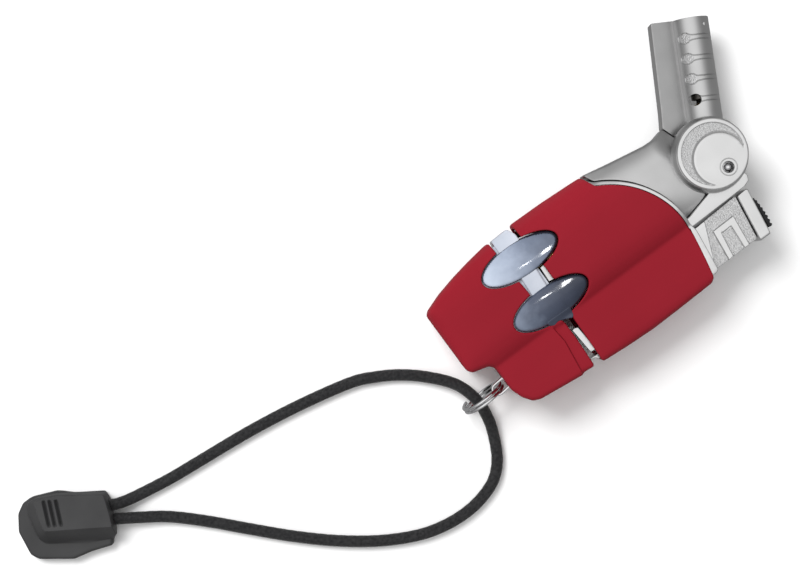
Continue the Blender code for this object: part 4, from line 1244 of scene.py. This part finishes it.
def make_burner_head():
    base_left = [(28.7, 19.8), (27.8, 17.9), (27.0, 16.3), (28.9, 12.6)]
    right_side = BARREL_OFFSET - BARREL_RADIUS
    right_foot = in_barrel(8.5, right_side)
    angle_left = math.degrees(math.atan2(12.6 - HUB[1], 28.9 - HUB[0]))
    angle_right = math.degrees(math.atan2(right_foot[1] - HUB[1], right_foot[0] - HUB[0]))
    round_hub = arc(HUB, HUB_RADIUS, angle_left, angle_right + 360.0, 90)
    outline = (rounded_by([in_barrel(BARREL_LENGTH, FIN_EDGE)] + base_left, 0.03)
               + rounded_by(round_hub[1:-1], 0.12)
               + rounded_by([right_foot, in_barrel(BARREL_LENGTH, right_side)], 0.05))
    features = []
    for t in (-5.68, -5.6, -5.45, -5.2, -4.9, -4.5, 2.3, 2.6, 2.85, 3.05, 3.2,
              VALLEY, 3.45, 3.7, 4.0, 4.4, 4.8, 5.3):
        features += beside([in_barrel(9.0, t), in_barrel(BARREL_LENGTH - 0.1, t)], (0.0,), 0.25,
                           closed=False)
    lines = [keyhole_lines(at, eye) for at, eye in KEYHOLES + ((14.2, 1.1),)]
    for line in lines:
        features += beside(line, (-0.19, -0.08, 0.0, 0.08, 0.19), 0.25)
    rim_hole = in_barrel(32.6, -3.9)
    eyes = [loop(arc(in_barrel(at, eye), EYE_RADIUS, 0.0, 360.0, 40)[:-1], 0.0, 0.3)
            for at, eye in KEYHOLES]

    def crosshatched(x, y):
        return np.any([within(np.column_stack([x, y]), [eye]) for eye in eyes], axis=0)

    head = slab("burner_casting", [loop(outline, 0.12, 0.35)],
                lambda x, y: burner_height(x, y, lines), None, 0.5, features, crosshatched)
    for name in ("zinc", "blasted"):        # set before the cuts, which drop unknown slots
        head.data.materials.append(MATERIALS[name])
    combine(head, "DIFFERENCE",
            rod("bore", on_bore(11.0), on_bore(36.0), BORE_RADIUS, 64),
            rod("gas_way", on_bore(3.0), on_bore(12.0), 2.3, 32),
            through("axle_hole", HUB, 6.0, AXLE_HOLE, 48),
            through("air_hole", (37.4, 18.4), 7.0, 1.5, 48),
            rod("wire_bore", on_wire(14.0), on_wire(36.0), 1.4, 32),
            rod("rim_hole", at_mid(rim_hole, 3.2), at_mid(rim_hole, 8.0), 0.35, 24))
    finish(head, "burner", "burner_head", "zinc", "zinc", "blasted")

    profile = [(2.8, 18.6), (2.8, 0.0), (2.4, 0.0), (2.4, 18.6)]
    sleeve = lathe("burner_inner_tube", profile, on_bore(14.4), on_bore(33.0), 64, 0.08)
    # Its second material is the steel painted darker, as shade inside the bore.
    finish(sleeve, "burner", "burner_tube", "steel", "bore_shade_steel")
    profile = [(1.1, 13.5), (1.1, 0.0), (0.5, 0.0), (0.5, 13.5)]
    insulator = lathe("electrode_sleeve", profile, on_wire(16.5), on_wire(30.0), 40, 0.1)
    finish(insulator, "burner", "electrode_insulator", "ceramic")


# ---------------------------------------------------------------- thumb button
BLOCK = [(19.3, -20.4), (20.8, -20.45), (33.4, -18.95), (33.9, -7.1), (16.2, -9.95), (16.4, -12.2),
         (18.4, -12.0)]
BLOCK_TOP = 4.9
N_RELIEF = 0.45
N_OUTER = [(24.6, -24.0), (24.65, -11.95), (30.95, -11.1), (30.9, -24.0)]
N_INNER = [(25.8, -24.0), (26.3, -13.4), (29.25, -12.95), (29.6, -24.0)]
PLAIN_EDGE = [(20.6, -20.6), (24.1, -8.8)]


def inside(x, y, outline, ease):
    """One inside the outline and none outside it, with an eased edge."""
    points = np.column_stack([x, y])
    edge = [np.array([(*p, 0.0) for p in outline])]
    signed = edge_gap(points, edge) * np.where(within(points, edge), 1.0, -1.0)
    return eased(signed / ease + 0.5)


def make_button():
    def raised(x, y):
        """The plain part beside the case and the n-shaped rib stand above the blasted ground."""
        rib = inside(x, y, N_OUTER, 0.24) * (1.0 - inside(x, y, N_INNER, 0.24))
        border = np.interp(y, [p[1] for p in PLAIN_EDGE], [p[0] for p in PLAIN_EDGE])
        return np.maximum(rib, eased((border - x) / 0.2 + 0.5))

    features = beside(PLAIN_EDGE, (-0.12, 0.12), 0.35, closed=False)
    for corners in (N_OUTER, N_INNER):
        features += beside(corners, (-0.14, -0.05, 0.05, 0.14), 0.3, closed=False)
    block = slab("button_body", [loop(BLOCK, 0.12, 0.3, 0.15)],
                 lambda x, y: MID + BLOCK_TOP - N_RELIEF + N_RELIEF * raised(x, y), None, 0.45,
                 features, lambda x, y: raised(x, y) < 0.3)
    finish(block, "button", "button_block", "zinc", "pale_zinc", "blasted")

    plate = [(33.65, -19.8, 0.6), (36.6, -19.5, 0.6), (36.65, -18.8, 0.25), (37.1, -7.0, 0.25),
             (36.6, -6.9, 0.2), (34.1, -7.4, 0.12), (33.68, -19.1, 0.12)]
    cap = slab("button_plate", [loop(plate, 0.1, 0.25)], level(MID + 6.0), None, 0.5)
    slot = loop(box_plan(35.4, -16.6, 38.0, -12.0), 0.0, 0.5)
    combine(cap, "DIFFERENCE", slab("foot_slot", [slot], level(MID + 1.8), None, 1.0))
    finish(cap, "button", "button_cap", "steel", "pale_zinc")


def make_slider():
    pad = [(37.3, -18.0), (38.0, -18.1)]
    teeth = 7
    pitch = 7.9 / teeth
    for i in range(teeth):
        low = -18.05 + i * pitch
        bulge = 0.25 * math.sin(math.pi * (i + 0.5) / teeth)
        reach = 38.45 - 0.07 * i + bulge
        pad += [(reach, low + 0.25), (reach, low + 0.6), (reach - 0.3, low + 0.8),
                (reach - 0.3, low + 1.05)]
    pad += [(37.8, -9.9), (37.3, -10.0)]
    slider = slab("slider_pad", [loop(pad, 0.07, 0.12, 0.2)], level(MID + 4.0), None, 0.3)
    peg = loop(box_plan(35.7, -16.3, 37.6, -14.2), 0.0, 0.4)
    combine(slider, "UNION", slab("peg", [peg], level(MID + 1.5), None, 1.0))
    finish(slider, "slider", "safety_slider", "black_rubber")


# ---------------------------------------------------------------- fuel end
def make_fuel_end():
    profile = [(0.0, 6.0), (2.2, 6.0), (2.2, 0.0), (0.9, 0.0), (0.9, 5.0), (0.0, 5.0)]
    body = lathe("refill_valve_body", profile, (-45.7, FILL_Y, MID), (-38.0, FILL_Y, MID), 48, 0.15)
    finish(body, "torch_body", "fill_valve_body", "brass")
    stem = rod("refill_valve_stem", (-46.0, FILL_Y, MID), (-42.2, FILL_Y, MID), 0.6, 32, 0.12)
    finish(stem, "filler", "fill_valve_stem", "steel")
    profile = [(0.0, 25.0), (0.7, 25.0), (0.7, 1.3), (2.4, 1.3), (2.4, 0.0), (0.0, 0.0)]
    dial = lathe("flame_dial", profile, (-46.5, VALVE_Y, MID), (-21.5, VALVE_Y, MID), 64, 0.15)
    slot = loop(box_plan(-47.0, VALVE_Y - 0.4, -46.0, VALVE_Y + 0.4), 0.0, 0.2)
    combine(dial, "DIFFERENCE", slab("dial_slot", [slot], level(MID + 3.0), None, 0.5))
    finish(dial, "adjuster", "flame_adjuster", "black_plastic")


HIDDEN_FINISH = {
    "fuel_tank": "clear", "tank_seal": "black_rubber", "gas_valve_body": "brass",
    "valve_stem": "brass", "friction_washer_front": "steel", "friction_washer_back": "steel",
    "pivot_axle": "brass", "gas_jet": "brass", "flame_screen": "steel",
    "igniter_electrode": "steel", "piezo_body": "black_plastic", "piezo_plunger": "steel",
    "return_spring": "steel", "ignition_lead": "black_rubber", "valve_lever": "steel",
    "lever_pin": "steel", "gas_hose": "black_rubber",
}


def dress_hidden_pieces():
    """Pieces inside the case keep their CAD shapes and get their finishes here."""
    for name, material in HIDDEN_FINISH.items():
        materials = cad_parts[name].data.materials
        materials.clear()
        materials.append(MATERIALS[material])


make_camera()
make_light()
make_floor()
make_cord_piece(make_cord_end())
make_ring_and_lug()
make_shells()
make_windows()
make_tank_tabs()
make_chassis()
make_neck()
make_screws()
make_hub()
make_burner_head()
make_button()
make_slider()
make_fuel_end()
dress_hidden_pieces()
